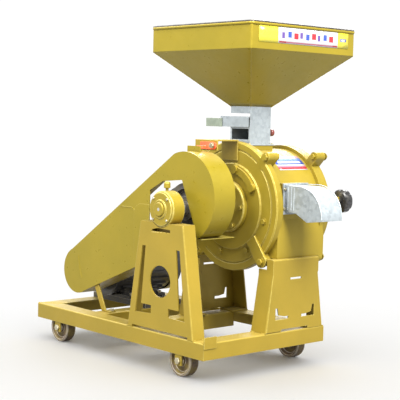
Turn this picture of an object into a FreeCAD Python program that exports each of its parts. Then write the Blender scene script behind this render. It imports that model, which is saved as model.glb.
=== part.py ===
"""Belt-driven hammer mill on a four-wheeled base.

Millimetres, +Z up. The origin is on the ground, under the middle of the bounding box. X runs along
the base, from the motor to the outlet, and Y runs along the shafts, from the outboard bearing to
the chamber door.
"""
import FreeCAD, Part
import os
import re
import Sketcher
from FreeCAD import Placement, Rotation, Vector

SIZES = {
    # base frame of angle rails
    "base_left": -647, "base_front": -385, "base_length": 1116, "base_width": 668,
    "deck": 153, "rail_height": 65, "rail_leg": 78, "rail_wall": 5,
    "member_width": 70, "left_member_x": -59, "motor_member_x": -321,
    # wheels and forks
    "wheel_radius": 62.5, "wheel_width": 46, "wheel_inset": 150, "wheel_offset": 36,
    "axle_radius": 8, "fork_wall": 6, "fork_width": 40, "fork_foot": 45,
    # shaft line
    "shaft_x": 205, "shaft_z": 640, "shaft_radius": 27.5, "shaft_start": -401, "shaft_end": 230,
    "rotor_radius": 32, "running_gap": 0.05,
    # bearing pedestal
    "sheet": 6, "stand_foot": 402, "stand_head": 258, "stand_top": 586, "stand_depth": 65,
    "window_radius": 63, "window_z": 356,
    # outboard bearing and the bearing in the chamber hub
    "block_depth": 60, "block_radius": 72, "cap_radius": 66, "bearing_radius": 50,
    "bearing_width": 21, "block_front": -385,
    # chamber pedestals
    "pier_y": 108, "pier_depth": 83, "pier_reach": 264, "pier_foot": 332, "pier_head": 262,
    "pier_height": 292, "pier_bend": 227,
    # grinding chamber
    "chamber_radius": 235, "bore_radius": 222, "flange_radius": 250, "chamber_front": 15,
    "chamber_back": 285, "plate_radius": 266, "plate_depth": 30, "flange_depth": 22,
    "disc_radius": 178, "disc_step": 7, "hub_radius": 106, "hub_depth": 23, "spigot_radius": 70,
    "lug_reach": 286, "lug_radius": 19, "lug_hole": 8, "door_depth": 30,
    "hinge_reach": 277, "hinge_y": 302, "hinge_radius": 7, "knob_reach": 277, "knob_lift": 28,
    "knob_radius": 48, "knob_flutes": 52,
    # sieve and rotor
    "sieve_radius": 209, "sieve_wall": 4, "rotor_disc_radius": 145, "rotor_disc_wall": 10,
    "rotor_pitch": 42, "rotor_front": 40, "pin_reach": 125, "pin_radius": 10, "collar_radius": 50,
    "hammer_wall": 6, "hammer_width": 40, "hammer_length": 93, "hammer_heel": 18,
    # feed
    "feed_x": 190, "feed_y": 100, "throat_side": 118, "throat_foot": 890, "throat_wall": 3,
    "cone_foot": 1049, "band_foot": 1267, "hopper_top": 1373, "hopper_side": 590,
    "hopper_wall": 2.5, "bead": 6, "gate_z": 1005, "gate_left": 77,
    # outlet
    "outlet_x": 444, "outlet_y": 111, "outlet_width": 118, "outlet_foot": 631, "outlet_head": 737,
    "bend_x": 519, "bend_radius": 128,
    # motor and drive
    "motor_x": -491, "motor_z": 310, "motor_radius": 118, "motor_front": -130, "motor_length": 310,
    "motor_shaft_radius": 19, "slide_height": 25, "slide_width": 46, "foot_front": -60,
    "foot_back": 100, "foot_half": 108, "drive_front": -265, "drive_width": 63,
    "driven_radius": 100, "driver_radius": 82.5, "belt_pitch": 19, "belt_width": 15,
    "belt_depth": 9, "groove_width": 17, "groove_depth": 13,
    # drive guard
    "guard_x": 220, "guard_z": 685, "guard_big": 180, "guard_small": 100, "guard_front": -285,
    "guard_depth": 110, "guard_sheet": 3, "latch_x": 56,
}

doc = FreeCAD.newDocument("hammer_mill")
sheet = doc.addObject("Spreadsheet::Sheet", "Sizes")
for row, (alias, number) in enumerate(SIZES.items(), start=1):
    sheet.set(f"A{row}", alias)
    sheet.set(f"B{row}", str(number))
    sheet.setAlias(f"B{row}", alias)
doc.recompute()

# direction of each origin plane's own normal along its axis
NORMALS = {"XY_Plane": 1, "XZ_Plane": -1, "YZ_Plane": 1}
nodes = []


# ---------------------------------------------------------------- formulas
def formula(text):
    """The text with every size's name pointed at its cell."""
    def cell(word):
        return f"Sizes.{word[0]}" if word[0] in SIZES else word[0]

    return re.sub(r"[a-z][a-z_]*", cell, str(text))


def value(text):
    """The number that a formula gives now."""
    return float(sheet.evalExpression(formula(text)))


def bind(item, **formulas):
    """Bind properties of an object to formulas."""
    for name, text in formulas.items():
        item.setExpression(name, formula(text))
    return item


def place(item, at, turn=None):
    """Put an object where three formulas say, turned by a rotation."""
    item.Placement = Placement(Vector(*map(value, at)), turn or Rotation())
    for axis, text in zip("xyz", at):
        item.setExpression(f"Placement.Base.{axis}", formula(text))
    return item


def keep(item, name):
    """Make an object one of the mill's sub-parts."""
    item.Label = name
    nodes.append(item)
    return item


# ---------------------------------------------------------------- primitives
def box(size, at, turn=None):
    """Block with its low corner at a point."""
    item = doc.addObject("Part::Box", "block")
    bind(item, Length=size[0], Width=size[1], Height=size[2])
    return place(item, at, turn)


ALONG = {
    "x": Rotation(Vector(0, 1, 0), 90),
    "y": Rotation(Vector(1, 0, 0), -90),
    "z": Rotation(),
}


def rod(radius, length, at, along="y"):
    """Round bar from a point along an axis."""
    item = doc.addObject("Part::Cylinder", "rod")
    bind(item, Radius=radius, Height=length)
    return place(item, at, ALONG[along])


def hexagon(radius, length, at, along="y"):
    """Bolt head or nut from a point along an axis."""
    item = doc.addObject("Part::Prism", "hexagon")
    item.Polygon = 6
    bind(item, Circumradius=radius, Height=length)
    return place(item, at, ALONG[along])


def cut(base, *tools):
    """One object less the others."""
    item = doc.addObject("Part::Cut", "cut")
    item.Base = base
    item.Tool = tools[0] if len(tools) == 1 else fuse(*tools)
    return item


def fuse(*items):
    """Several objects made into one."""
    item = doc.addObject("Part::MultiFuse", "union")
    item.Shapes = list(items)
    return item


def group(items):
    """Separate solids that share a node."""
    item = doc.addObject("Part::Compound", "group")
    item.Links = list(items)
    return item


# ---------------------------------------------------------------- sketches
def pin(sketch, kind, edge, end, text):
    """Hold one coordinate of a sketch point at a formula."""
    spot = sketch.addConstraint(Sketcher.Constraint(kind, -1, 1, edge, end, value(text)))
    sketch.setExpression(f"Constraints[{spot}]", formula(text))


def set_radius(sketch, edge, text):
    """Hold a radius at a formula."""
    spot = sketch.addConstraint(Sketcher.Constraint("Radius", edge, value(text)))
    sketch.setExpression(f"Constraints[{spot}]", formula(text))


def draw_circle(sketch, across, up, radius):
    """Circle about a point."""
    centre = Vector(value(across), value(up), 0)
    edge = sketch.addGeometry(Part.Circle(centre, Vector(0, 0, 1), value(radius)), False)
    pin(sketch, "DistanceX", edge, 3, across)
    pin(sketch, "DistanceY", edge, 3, up)
    set_radius(sketch, edge, radius)


def arc_between(start, end, radius):
    """Arc that runs anticlockwise from start to end, at most half a turn."""
    chord = end - start
    middle = (start + end) * 0.5
    rise = max(radius ** 2 - (chord.Length / 2) ** 2, 0) ** 0.5
    across = Vector(-chord.y, chord.x, 0).normalize()
    centre = middle + across * rise
    first = (start - centre).getAngle(Vector(1, 0, 0)) * (1 if start.y >= centre.y else -1)
    last = (end - centre).getAngle(Vector(1, 0, 0)) * (1 if end.y >= centre.y else -1)
    return Part.ArcOfCircle(Part.Circle(centre, Vector(0, 0, 1), radius), first, last)


def draw_outline(sketch, corners):
    """Closed anticlockwise outline. A corner with a third entry starts an arc of that radius."""
    spots = [Vector(value(corner[0]), value(corner[1]), 0) for corner in corners]
    first = sketch.GeometryCount
    count = len(corners)
    for index, corner in enumerate(corners):
        start = spots[index]
        end = spots[(index + 1) % count]
        if len(corner) == 3:
            sketch.addGeometry(arc_between(start, end, value(corner[2])), False)
        else:
            sketch.addGeometry(Part.LineSegment(start, end), False)
    for index, corner in enumerate(corners):
        edge = first + index
        after = first + (index + 1) % count
        sketch.addConstraint(Sketcher.Constraint("Coincident", edge, 2, after, 1))
        pin(sketch, "DistanceX", edge, 1, corner[0])
        pin(sketch, "DistanceY", edge, 1, corner[1])
        if len(corner) == 3:
            set_radius(sketch, edge, corner[2])


def rectangle(left, low, width, height):
    """Corners of an upright rectangle."""
    right = f"{left} + {width}"
    top = f"{low} + {height}"
    return [(left, low), (right, low), (right, top), (left, top)]


def centred(across, up, width, height):
    """Corners of a rectangle about its middle."""
    return rectangle(f"{across} - ({width}) / 2", f"{up} - ({height}) / 2", width, height)


def mirrored(corners):
    """The outline's reflection in the upright axis, kept anticlockwise."""
    return [(f"-({corner[0]})", corner[1]) for corner in reversed(corners)]


# ---------------------------------------------------------------- bodies
def new_body(name, at=(0, 0, 0), turn=None):
    """Empty body that becomes a sub-part."""
    body = doc.addObject("PartDesign::Body", name)
    place(body, at, turn)
    return keep(body, name)


def new_sketch(body, plane, lift, outlines):
    """Sketch on one of the body's own planes, lifted along the plane's axis."""
    sketch = body.newObject("Sketcher::SketchObject", f"{body.Name}_sketch")
    face = next(item for item in body.Origin.OriginFeatures if item.Role == plane)
    sketch.AttachmentSupport = [(face, "")]
    sketch.MapMode = "FlatFace"
    bind(sketch, **{"AttachmentOffset.Base.z": f"({lift}) * {NORMALS[plane]}"})
    for outline in outlines:
        if isinstance(outline, tuple):
            draw_circle(sketch, *outline)
        else:
            draw_outline(sketch, outline)
    return sketch


def pad(body, plane, lift, length, *outlines):
    """Add material from the lifted plane along its axis."""
    feature = body.newObject("PartDesign::Pad", f"{body.Name}_pad")
    feature.Profile = new_sketch(body, plane, lift, outlines)
    feature.Reversed = NORMALS[plane] < 0
    body.Tip = feature
    return bind(feature, Length=length)


def pocket(body, plane, lift, depth, *outlines):
    """Remove material from the lifted plane along its axis."""
    feature = body.newObject("PartDesign::Pocket", f"{body.Name}_pocket")
    feature.Profile = new_sketch(body, plane, lift, outlines)
    feature.Reversed = NORMALS[plane] > 0
    body.Tip = feature
    return bind(feature, Length=depth)


def turned(name, profile, at, along="y"):
    """Body turned about an axis; the profile gives (radius, distance along the axis)."""
    body = new_body(name, at)
    plane = "XZ_Plane" if along == "z" else "XY_Plane"
    if along == "x":
        profile = [(distance, radius) for radius, distance in reversed(profile)]
    feature = body.newObject("PartDesign::Revolution", f"{name}_turn")
    feature.Profile = new_sketch(body, plane, 0, [profile])
    feature.ReferenceAxis = (feature.Profile[0], ["H_Axis" if along == "x" else "V_Axis"])
    feature.Angle = 360
    body.Tip = feature
    return body


# ---------------------------------------------------------------- base
def make_rail(name, length, at, quarter_turns):
    """Angle rail with both ends mitred; one leg faces out of the frame and the other lies on top."""
    rail = new_body(name, at, Rotation(Vector(0, 0, 1), 90 * quarter_turns))
    pad(rail, "YZ_Plane", 0, length, [
        (0, 0), ("rail_wall", 0), ("rail_wall", "rail_height - rail_wall"),
        ("rail_leg", "rail_height - rail_wall"), ("rail_leg", "rail_height"), (0, "rail_height")])
    pocket(rail, "XY_Plane", -1, "rail_height + 2",
           [(-2, -2), ("rail_leg + 2", "rail_leg + 2"), (-2, "rail_leg + 2")],
           [(f"{length} + 2", -2), (f"{length} + 2", "rail_leg + 2"),
            (f"{length} - rail_leg - 2", "rail_leg + 2")])


def make_member(name, left):
    """Folded channel, open below, that crosses the frame between its long rails."""
    member = new_body(name, (left, "base_front + rail_leg", "deck - rail_height"))
    wall = "rail_wall"
    pad(member, "XZ_Plane", 0, "base_width - 2 * rail_leg", [
        (0, 0), (wall, 0), (wall, f"rail_height - {wall}"),
        (f"member_width - {wall}", f"rail_height - {wall}"), (f"member_width - {wall}", 0),
        ("member_width", 0), ("member_width", "rail_height"), (0, "rail_height")])


def make_base():
    """Four mitred rails and two cross members."""
    low = "deck - rail_height"
    right = "base_left + base_length"
    back = "base_front + base_width"
    make_rail("front_rail", "base_length", ("base_left", "base_front", low), 0)
    make_rail("right_rail", "base_width", (right, "base_front", low), 1)
    make_rail("back_rail", "base_length", (right, back, low), 2)
    make_rail("left_rail", "base_width", ("base_left", back, low), 3)
    make_member("chamber_cross_member", "left_member_x")
    make_member("motor_cross_member", "motor_member_x")


WHEEL_X = {"left": "base_left + wheel_inset", "right": "base_left + base_length - wheel_inset"}
WHEEL_Y = {
    "front": ("base_front", 1),
    "back": ("base_front + base_width", -1),
}


def make_wheel(name, across, along):
    """Cast wheel with a dished web and a plain bore."""
    rim = "wheel_radius"
    half = "wheel_width / 2"
    bore = "axle_radius + running_gap"
    turned(name, [
        (bore, f"-{half}"), ("22", f"-{half}"), ("22", f"-{half} + 11"), ("44", f"-{half} + 14"),
        ("52", f"-{half}"), (f"{rim} - 3", f"-{half}"), (rim, f"-{half} + 4"),
        (rim, f"{half} - 4"), (f"{rim} - 3", half), ("52", half), ("44", f"{half} - 14"),
        ("22", f"{half} - 11"), ("22", half), (bore, half)], (across, along, "wheel_radius"))


def make_wheels():
    """Four wheels, each between the two plates of a fork, on a bolt."""
    plates = []
    bolts = []
    for end, (edge, inward) in WHEEL_Y.items():
        for side, across in WHEEL_X.items():
            along = f"{edge} + {inward} * wheel_offset"
            make_wheel(f"wheel_{end}_{side}", across, along)
            left = f"{across} - fork_width / 2"
            outer = f"{edge} + rail_wall" if inward > 0 else f"{edge} - rail_wall - fork_wall"
            gap = f"{along} + {inward} * (wheel_width / 2 + 2)"
            inner = gap if inward > 0 else f"{gap} - fork_wall"
            for place in (outer, inner):
                size = ("fork_width", "fork_wall", "deck - rail_wall - fork_foot")
                plates.append(box(size, (left, place, "fork_foot")))
            start = f"{edge} - {inward} * 3"
            length = "wheel_offset + wheel_width / 2 + 2 + fork_wall + 11"
            low = start if inward > 0 else f"{start} - ({length})"
            bolt = rod("axle_radius", length, (across, low, "wheel_radius"))
            head = f"{edge} - 4 + {inward}"
            bolts.append(fuse(bolt, hexagon("14", "8", (across, head, "wheel_radius"))))
    holes = [rod("axle_radius", "base_width + 80", (across, "base_front - 40", "wheel_radius"))
             for across in WHEEL_X.values()]
    keep(cut(group(plates), group(holes)), "wheel_forks")
    keep(group(bolts), "wheel_axles")


# ---------------------------------------------------------------- stands
def trapezoid(foot, head, low, high, inset="0"):
    """Upright outline narrower at the top, with its walls moved in."""
    return [(f"-({foot}) / 2 + {inset}", low), (f"({foot}) / 2 - {inset}", low),
            (f"({head}) / 2 - {inset}", high), (f"-({head}) / 2 + {inset}", high)]


def make_bearing_pedestal():
    """Folded stand, open at the back, with a round window and two bent cut-outs."""
    stand = new_body("bearing_pedestal", ("shaft_x", "base_front", 0))
    slot = [("93", "489"), ("114", "256"), ("52", "256"), ("52", "222"), ("152", "218"), ("114", "489")]
    pad(stand, "XZ_Plane", 0, "stand_depth", trapezoid("stand_foot", "stand_head", "deck", "stand_top"))
    pocket(stand, "XZ_Plane", "sheet", "stand_depth", trapezoid(
        "stand_foot", "stand_head", "deck + sheet", "stand_top - sheet - 30", "sheet"))
    pocket(stand, "XZ_Plane", -1, "sheet + 2", ("0", "window_z", "window_radius"), slot,
           mirrored(slot))
    pocket(stand, "XZ_Plane", -1, "24", centred("0", "557", "110", "12"))
    pocket(stand, "XZ_Plane", -1, "stand_depth + 2", centred("0", "deck", "340", "20"))
    pocket(stand, "XZ_Plane", -1, "stand_depth + 2", ("0", "shaft_z", "block_radius"))


def pier_outline(low, high, inset="0"):
    """Upright outline that narrows up to the bend and runs straight above it, with its walls moved in."""
    foot = f"pier_foot / 2 - ({inset})"
    head = f"pier_head / 2 - ({inset})"
    right = [(foot, low), (head, "pier_bend"), (head, high)]
    return right + mirrored(right)


def make_pier(name, half_turns):
    """Folded chamber stand, closed on its outer side and open towards the middle of the mill."""
    pier = new_body(name, ("shaft_x", "pier_y", "deck"), Rotation(Vector(0, 0, 1), 180 * half_turns))
    slot = [("38", "51"), ("112", "51"), ("112", "97"), ("100", "97"), ("94", "68"), ("62", "62"),
            ("38", "62")]
    inner = "pier_reach - pier_depth"
    pad(pier, "YZ_Plane", inner, "pier_depth", pier_outline("0", "pier_height"))
    pocket(pier, "YZ_Plane", f"{inner} - 1", "pier_depth - sheet + 1",
           pier_outline("sheet", "pier_height - sheet * 2", "sheet"))
    pocket(pier, "YZ_Plane", f"{inner} - 1", "pier_depth + 2", centred("0", "0", "152", "20"))
    pocket(pier, "YZ_Plane", "pier_reach - sheet - 1", "sheet + 2", slot, mirrored(slot),
           centred("0", "212", "64", "8"))
    relief = rectangle("pier_head / 2 - 77", "pier_height - 42", "90", "50")
    pocket(pier, "YZ_Plane", f"{inner} - 1", "46", relief, mirrored(relief))


def make_stands():
    make_bearing_pedestal()
    make_pier("chamber_pedestal_right", 0)
    make_pier("chamber_pedestal_left", 1)


# ---------------------------------------------------------------- shaft bearings
def make_bearing_block():
    """Outboard bearing block, its cap and its grease cup."""
    turned("bearing_block", [
        ("bearing_radius", "0"), ("block_radius - 3", "0"), ("block_radius", "3"),
        ("block_radius", "block_depth - 3"), ("block_radius - 3", "block_depth"),
        ("shaft_radius + 3", "block_depth"), ("shaft_radius + 3", "44"), ("bearing_radius", "44")],
        ("shaft_x", "block_front", "shaft_z"))
    turned("bearing_cap", [
        ("shaft_radius + 1", "-5"), ("36", "-5"), ("38", "0"), ("cap_radius - 2", "0"),
        ("cap_radius", "2"), ("cap_radius", "6"), ("bearing_radius", "6"), ("bearing_radius", "22"),
        ("bearing_radius - 6", "22"), ("bearing_radius - 6", "6"), ("shaft_radius + 1", "6")],
        ("shaft_x", "block_front - 6", "shaft_z"))
    turned("grease_cup", [
        ("0", "0"), ("6", "0"), ("6", "8"), ("13", "11"), ("13", "29"), ("9", "35"), ("0", "37")],
        ("shaft_x - 4", "base_front + 30", "shaft_z + block_radius"), "z")


def make_bearings():
    """Sealed ball bearings, one in the outboard block and one in the chamber hub."""
    rings = []
    for start in ("block_front + 18", "chamber_front - plate_depth - disc_step - hub_depth + 5"):
        at = ("shaft_x", start, "shaft_z")
        ring = rod("bearing_radius", "bearing_width", at)
        bore = rod("shaft_radius + running_gap", "bearing_width", at)
        rings.append(cut(ring, bore))
    keep(group(rings), "shaft_bearings")


# ---------------------------------------------------------------- grinding chamber
LUG_ANGLES = (47, 133, 227, 313)


def lug_centre(angle, reach="lug_reach"):
    """Point on the lug circle, about the shaft."""
    return f"({reach}) * cos({angle} deg)", f"({reach}) * sin({angle} deg)"


def lug_neck(angle):
    """Outline that joins a lug to its flange."""
    corners = []
    for reach, side in (("200", -1), ("lug_reach", -1), ("lug_reach", 1), ("200", 1)):
        across, up = lug_centre(angle, reach)
        corners.append((f"{across} - {side} * lug_radius * sin({angle} deg)",
                        f"{up} + {side} * lug_radius * cos({angle} deg)"))
    return corners


def add_lugs(body, lift, length):
    """Four drilled lugs around a flange."""
    pad(body, "XZ_Plane", lift, length, *[lug_neck(angle) for angle in LUG_ANGLES])
    pad(body, "XZ_Plane", lift, length, *[(*lug_centre(angle), "lug_radius") for angle in LUG_ANGLES])
    pocket(body, "XZ_Plane", f"{lift} - 1", f"{length} + 2",
           *[(*lug_centre(angle), "lug_hole") for angle in LUG_ANGLES])


def make_chamber_body():
    """Cast drum with two flanges, two pairs of feet, an inlet collar and an outlet collar."""
    drum = new_body("chamber_body", ("shaft_x", 0, "shaft_z"))
    length = "chamber_back - chamber_front"
    foot = "deck + pier_height - shaft_z"
    pad(drum, "XZ_Plane", "chamber_front", length, ("0", "0", "chamber_radius"))
    for start in ("chamber_front", "chamber_back - flange_depth"):
        pad(drum, "XZ_Plane", start, "flange_depth", ("0", "0", "flange_radius"))
        add_lugs(drum, start, "flange_depth")
    web = [("165", foot), ("244", foot), ("244", "-110"), ("232", "-40"), ("165", "-40")]
    wall = [("232", foot), ("244", foot), ("244", "-110"), ("232", "-40"), ("220", "-40"), ("232", "-110")]
    sole = rectangle("pier_reach - pier_depth", foot, "pier_depth - 24", "12")
    pad(drum, "XZ_Plane", "chamber_front", length, sole, mirrored(sole))
    pad(drum, "XZ_Plane", "chamber_front", length, wall, mirrored(wall))
    for start in ("chamber_front", "chamber_back - flange_depth - 14"):
        pad(drum, "XZ_Plane", start, "14", web, mirrored(web))
    across = "feed_x - shaft_x"
    pad(drum, "XY_Plane", "150", "throat_foot - shaft_z - 150", centred(across, "feed_y", "134", "134"))
    middle = "(outlet_foot + outlet_head) / 2 - shaft_z"
    pad(drum, "YZ_Plane", "150", "outlet_x - shaft_x - 150", centred("outlet_y", middle, "144", "124"))
    pad(drum, "XZ_Plane", "chamber_back - flange_depth", "flange_depth",
        rectangle("230", "knob_lift - 20", "knob_reach - 230 + 20", "40"))
    pocket(drum, "XZ_Plane", "chamber_front - 1", f"{length} + 2", ("0", "0", "bore_radius"))
    pocket(drum, "XY_Plane", "100", "throat_foot - shaft_z", centred(across, "feed_y", "112", "112"))
    pocket(drum, "YZ_Plane", "100", "outlet_x - shaft_x", centred("outlet_y", middle, "112", "100"))
    pocket(drum, "XZ_Plane", "chamber_back - flange_depth - 1", "flange_depth + 2",
           rectangle("knob_reach - 9", "knob_lift - 9", "40", "18"))
    add_hinge_arms(drum)


def add_hinge_arms(drum):
    """Two arms that hold the ends of the door's hinge pin."""
    low = "chamber_back - flange_depth"
    for height in ("95", "-123"):
        pad(drum, "XY_Plane", height, "28", [
            ("-hinge_reach - 14", low), ("-200", low), ("-200", "chamber_back - 1"),
            ("-hinge_reach + 14", "chamber_back - 1"), ("-hinge_reach + 14", "hinge_y", "15"),
            ("-hinge_reach - 14", "hinge_y")])
        pocket(drum, "XY_Plane", f"{height} - 1", "30", ("-hinge_reach", "hinge_y", "hinge_radius"))


def make_front_plate():
    """Round cover on the drive side, its bearing hub and the clamp bar on its face."""
    front = "chamber_front - plate_depth"
    plate = turned("front_plate", [
        ("spigot_radius", "chamber_front"), ("spigot_radius", f"{front} - disc_step"),
        ("disc_radius - 3", f"{front} - disc_step"), ("disc_radius", f"{front} - disc_step + 3"),
        ("disc_radius", front), ("230", front), ("232", f"{front} + 4"), ("236", f"{front} + 4"),
        ("238", front), ("plate_radius - 4", front), ("plate_radius", f"{front} + 4"),
        ("plate_radius", "chamber_front")], ("shaft_x", 0, "shaft_z"))
    add_lugs(plate, front, "plate_depth")
    face = f"{front} - disc_step"
    hub = f"{face} - hub_depth"
    turned("bearing_housing", [
        ("shaft_radius + 4", hub), ("hub_radius - 4", hub), ("hub_radius", f"{hub} + 4"),
        ("hub_radius", face), ("spigot_radius", face), ("spigot_radius", "chamber_front - 4"),
        ("shaft_radius + 2", "chamber_front - 4"), ("shaft_radius + 2", f"{hub} + bearing_width + 5"),
        ("bearing_radius", f"{hub} + bearing_width + 5"), ("bearing_radius", f"{hub} + 5"),
        ("shaft_radius + 4", f"{hub} + 5")], ("shaft_x", 0, "shaft_z"))
    make_clamp_bar(face)


def make_clamp_bar(face):
    """Curved strap with a bolted boss at each end."""
    bar = new_body("clamp_bar", ("shaft_x", 0, "shaft_z"))
    corners = [(*lug_centre(30, "168"), "168"), lug_centre(80, "168"), lug_centre(80, "140")]
    inner = [lug_centre(angle, "140") for angle in (68, 56, 44)]
    pad(bar, "XZ_Plane", f"{face} - 10", "10", corners + inner + [lug_centre(30, "142")])
    for angle in (32, 78):
        pad(bar, "XZ_Plane", f"{face} - 16", "16", (*lug_centre(angle, "156"), "17"))


def make_door():
    """Round rear door with lugs, two hinge knuckles and an ear for its hand screw."""
    door = turned("back_door", [
        ("0", "chamber_back + 6"), ("212", "chamber_back + 6"), ("212", "chamber_back + 0.3"),
        ("flange_radius", "chamber_back + 0.3"), ("flange_radius", "chamber_back + door_depth - 4"),
        ("flange_radius - 4", "chamber_back + door_depth"), ("200", "chamber_back + door_depth"),
        ("190", "chamber_back + door_depth - 10"), ("80", "chamber_back + door_depth - 10"),
        ("70", "chamber_back + door_depth"), ("0", "chamber_back + door_depth")],
        ("shaft_x", 0, "shaft_z"))
    start = "chamber_back + 0.3"
    add_lugs(door, start, "door_depth - 0.3")
    pad(door, "XZ_Plane", start, "door_depth - 0.3",
        rectangle("230", "knob_lift - 20", "knob_reach - 230 + 20", "40"))
    pad(door, "XY_Plane", "-94", "188", [
        ("-hinge_reach - 12", "hinge_y"), ("-hinge_reach + 12", "hinge_y - 8"), ("-235", start),
        ("-235", "chamber_back + door_depth"), ("-hinge_reach", "hinge_y + 12", "12")])
    pocket(door, "XY_Plane", "-60", "120", rectangle("-hinge_reach - 20", f"{start} - 5", "34", "50"))
    pocket(door, "XY_Plane", "-100", "200", ("-hinge_reach", "hinge_y", "hinge_radius + running_gap"))
    pocket(door, "XZ_Plane", f"{start} - 1", "door_depth + 2", ("knob_reach", "knob_lift", "6.1"))
    pin_body = rod("hinge_radius", "262", ("shaft_x - hinge_reach", "hinge_y", "shaft_z - 131"), "z")
    keep(pin_body, "door_hinge_pin")


def make_knob():
    """Fluted hand knob with its neck and screw."""
    at = ("shaft_x + knob_reach", "chamber_back", "shaft_z + knob_lift")
    knob = turned("door_knob", [
        ("0", "-18"), ("6", "-18"), ("6", "door_depth + 1"), ("14", "door_depth + 1"),
        ("12", "46"), ("knob_radius - 10", "50"), ("knob_radius", "58"), ("knob_radius", "82"),
        ("knob_radius - 10", "92"), ("0", "96")], at)
    pocket(knob, "XZ_Plane", "48", "50",
           *[(*lug_centre(angle, "knob_flutes"), "9") for angle in range(0, 360, 45)])


def make_sieve():
    """Round screen, slotted all round and open under the inlet."""
    at = ("shaft_x", "chamber_front + 8", "shaft_z")
    length = "chamber_back - chamber_front - 16"
    inside = "sieve_radius - sieve_wall"
    tools = [rod(inside, length, at)]
    tools.append(box(("150", length, "sieve_radius + 10"), ("shaft_x - 90", "chamber_front + 8", "shaft_z")))
    for step in range(16):
        turn = Rotation(Vector(0, 1, 0), 120 + 20 * step * 0.75)
        slot = box(("6", "190", "sieve_radius + 10"), ("shaft_x", "chamber_front + 40", "shaft_z"), turn)
        tools.append(slot)
    keep(cut(rod("sieve_radius", length, at), *tools), "sieve")


# ---------------------------------------------------------------- rotor
DISC_COUNT = 5
PIN_ANGLES = (45, 135, 225, 315)
HANGING = Rotation(Vector(0, 1, 0), 90)


def make_shaft():
    """Main shaft: journals, pulley seat and rotor seat."""
    turned("main_shaft", [
        ("0", "shaft_start"), ("shaft_radius - 3", "shaft_start"),
        ("shaft_radius", "shaft_start + 3"), ("shaft_radius", "chamber_front + 2"),
        ("rotor_radius", "chamber_front + 2"), ("rotor_radius", "shaft_end"),
        ("rotor_radius - 4", "shaft_end + 4"), ("0", "shaft_end + 4")], ("shaft_x", 0, "shaft_z"))


def disc_start(index):
    """Front face of one rotor disc."""
    return f"rotor_front + {index} * rotor_pitch"


def make_rotor_discs():
    """Discs with spacing collars, side by side on the shaft."""
    discs = []
    at_shaft = ("shaft_x", 0, "shaft_z")
    for index in range(DISC_COUNT):
        at = (at_shaft[0], disc_start(index), at_shaft[2])
        disc = rod("rotor_disc_radius", "rotor_disc_wall", at)
        collar = rod("collar_radius", "rotor_pitch" if index < DISC_COUNT - 1 else "rotor_disc_wall", at)
        holes = [rod("rotor_radius", "rotor_pitch", at)]
        holes += [rod("pin_radius", "rotor_pitch", (f"shaft_x + {across}", at[1], f"shaft_z + {up}"))
                  for across, up in (lug_centre(angle, "pin_reach") for angle in PIN_ANGLES)]
        discs.append(cut(fuse(disc, collar), *holes))
    keep(group(discs), "rotor_discs")


def make_hammers():
    """Four pins, each with spacers and one row of swinging blades."""
    pieces = []
    gap = "rotor_pitch - rotor_disc_wall"
    side = f"({gap} - hammer_wall) / 2 - 0.3"
    for number, angle in enumerate(PIN_ANGLES, start=1):
        across, up = lug_centre(angle, "pin_reach")
        at = (f"shaft_x + {across}", 0, f"shaft_z + {up}")
        pieces.append(rod("pin_radius", f"{DISC_COUNT} * rotor_pitch - rotor_pitch + rotor_disc_wall + 12",
                          (at[0], "rotor_front - 6", at[2])))
        row = new_body(f"hammers_{number}", at, HANGING)
        for index in range(DISC_COUNT - 1):
            start = f"{disc_start(index)} + rotor_disc_wall"
            blade = f"{start} + ({gap} - hammer_wall) / 2"
            pad(row, "XZ_Plane", blade, "hammer_wall",
                rectangle("-hammer_heel", "-hammer_width / 2", "hammer_length", "hammer_width"),
                ("0", "0", "pin_radius + 2 * running_gap"))
            for low in (start, f"{blade} + hammer_wall + 0.3"):
                tube = rod("15", side, (at[0], low, at[2]))
                pieces.append(cut(tube, rod("pin_radius", side, (at[0], low, at[2]))))
    keep(group(pieces), "hammer_pins")


# ---------------------------------------------------------------- feed
def make_throat():
    """Square sheet throat with a base flange, an inspection window and the slot of the gate."""
    left = "feed_x - throat_side / 2"
    front = "feed_y - throat_side / 2"
    bore = "throat_side - 2 * throat_wall"
    height = "cone_foot - throat_foot"
    outer = box(("throat_side", "throat_side", height), (left, front, "throat_foot"))
    flange = box(("140", "140", "6"), ("feed_x - 70", "feed_y - 70", "throat_foot"))
    inner = box((bore, bore, f"{height} + 2"),
                (f"{left} + throat_wall", f"{front} + throat_wall", "throat_foot - 1"))
    slot = box(("throat_side - throat_wall + 1", "throat_side - throat_wall + 1", "17"),
               (f"{left} - 1", f"{front} - 1", "gate_z - 1"))
    window = box(("100", "20", "44"), ("feed_x - 50", f"{front} - 5", "throat_foot + 23"))
    keep(cut(fuse(outer, flange), inner, slot, window), "throat")


def make_gate():
    """Sliding gate with a turned-down lip, its handle, and the throat's hand screw."""
    front = "feed_y - throat_side / 2"
    right = "feed_x + throat_side / 2 - throat_wall - 1"
    blade = box((f"{right} - gate_left", "throat_side + 4", "3"), ("gate_left", f"{front} - 8", "gate_z"))
    lip = box((f"{right} - gate_left", "3", "44"), ("gate_left", f"{front} - 8", "gate_z - 41"))
    keep(fuse(blade, lip), "slide_gate")
    plate = box(("100", "3", "36"), ("gate_left - 87", f"{front} - 11", "gate_z - 42"))
    keep(plate, "gate_handle")
    back = "feed_y + throat_side / 2"
    turned("throat_knob", [
        ("0", "0.2"), ("5", "0.2"), ("5", "8"), ("13", "10"), ("15", "14"), ("15", "24"), ("0", "28")],
        ("feed_x + 45", back, "throat_foot + 53"))


def square(side):
    """Square outline about the middle of the feed."""
    return centred("0", "0", side, side)


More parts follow.
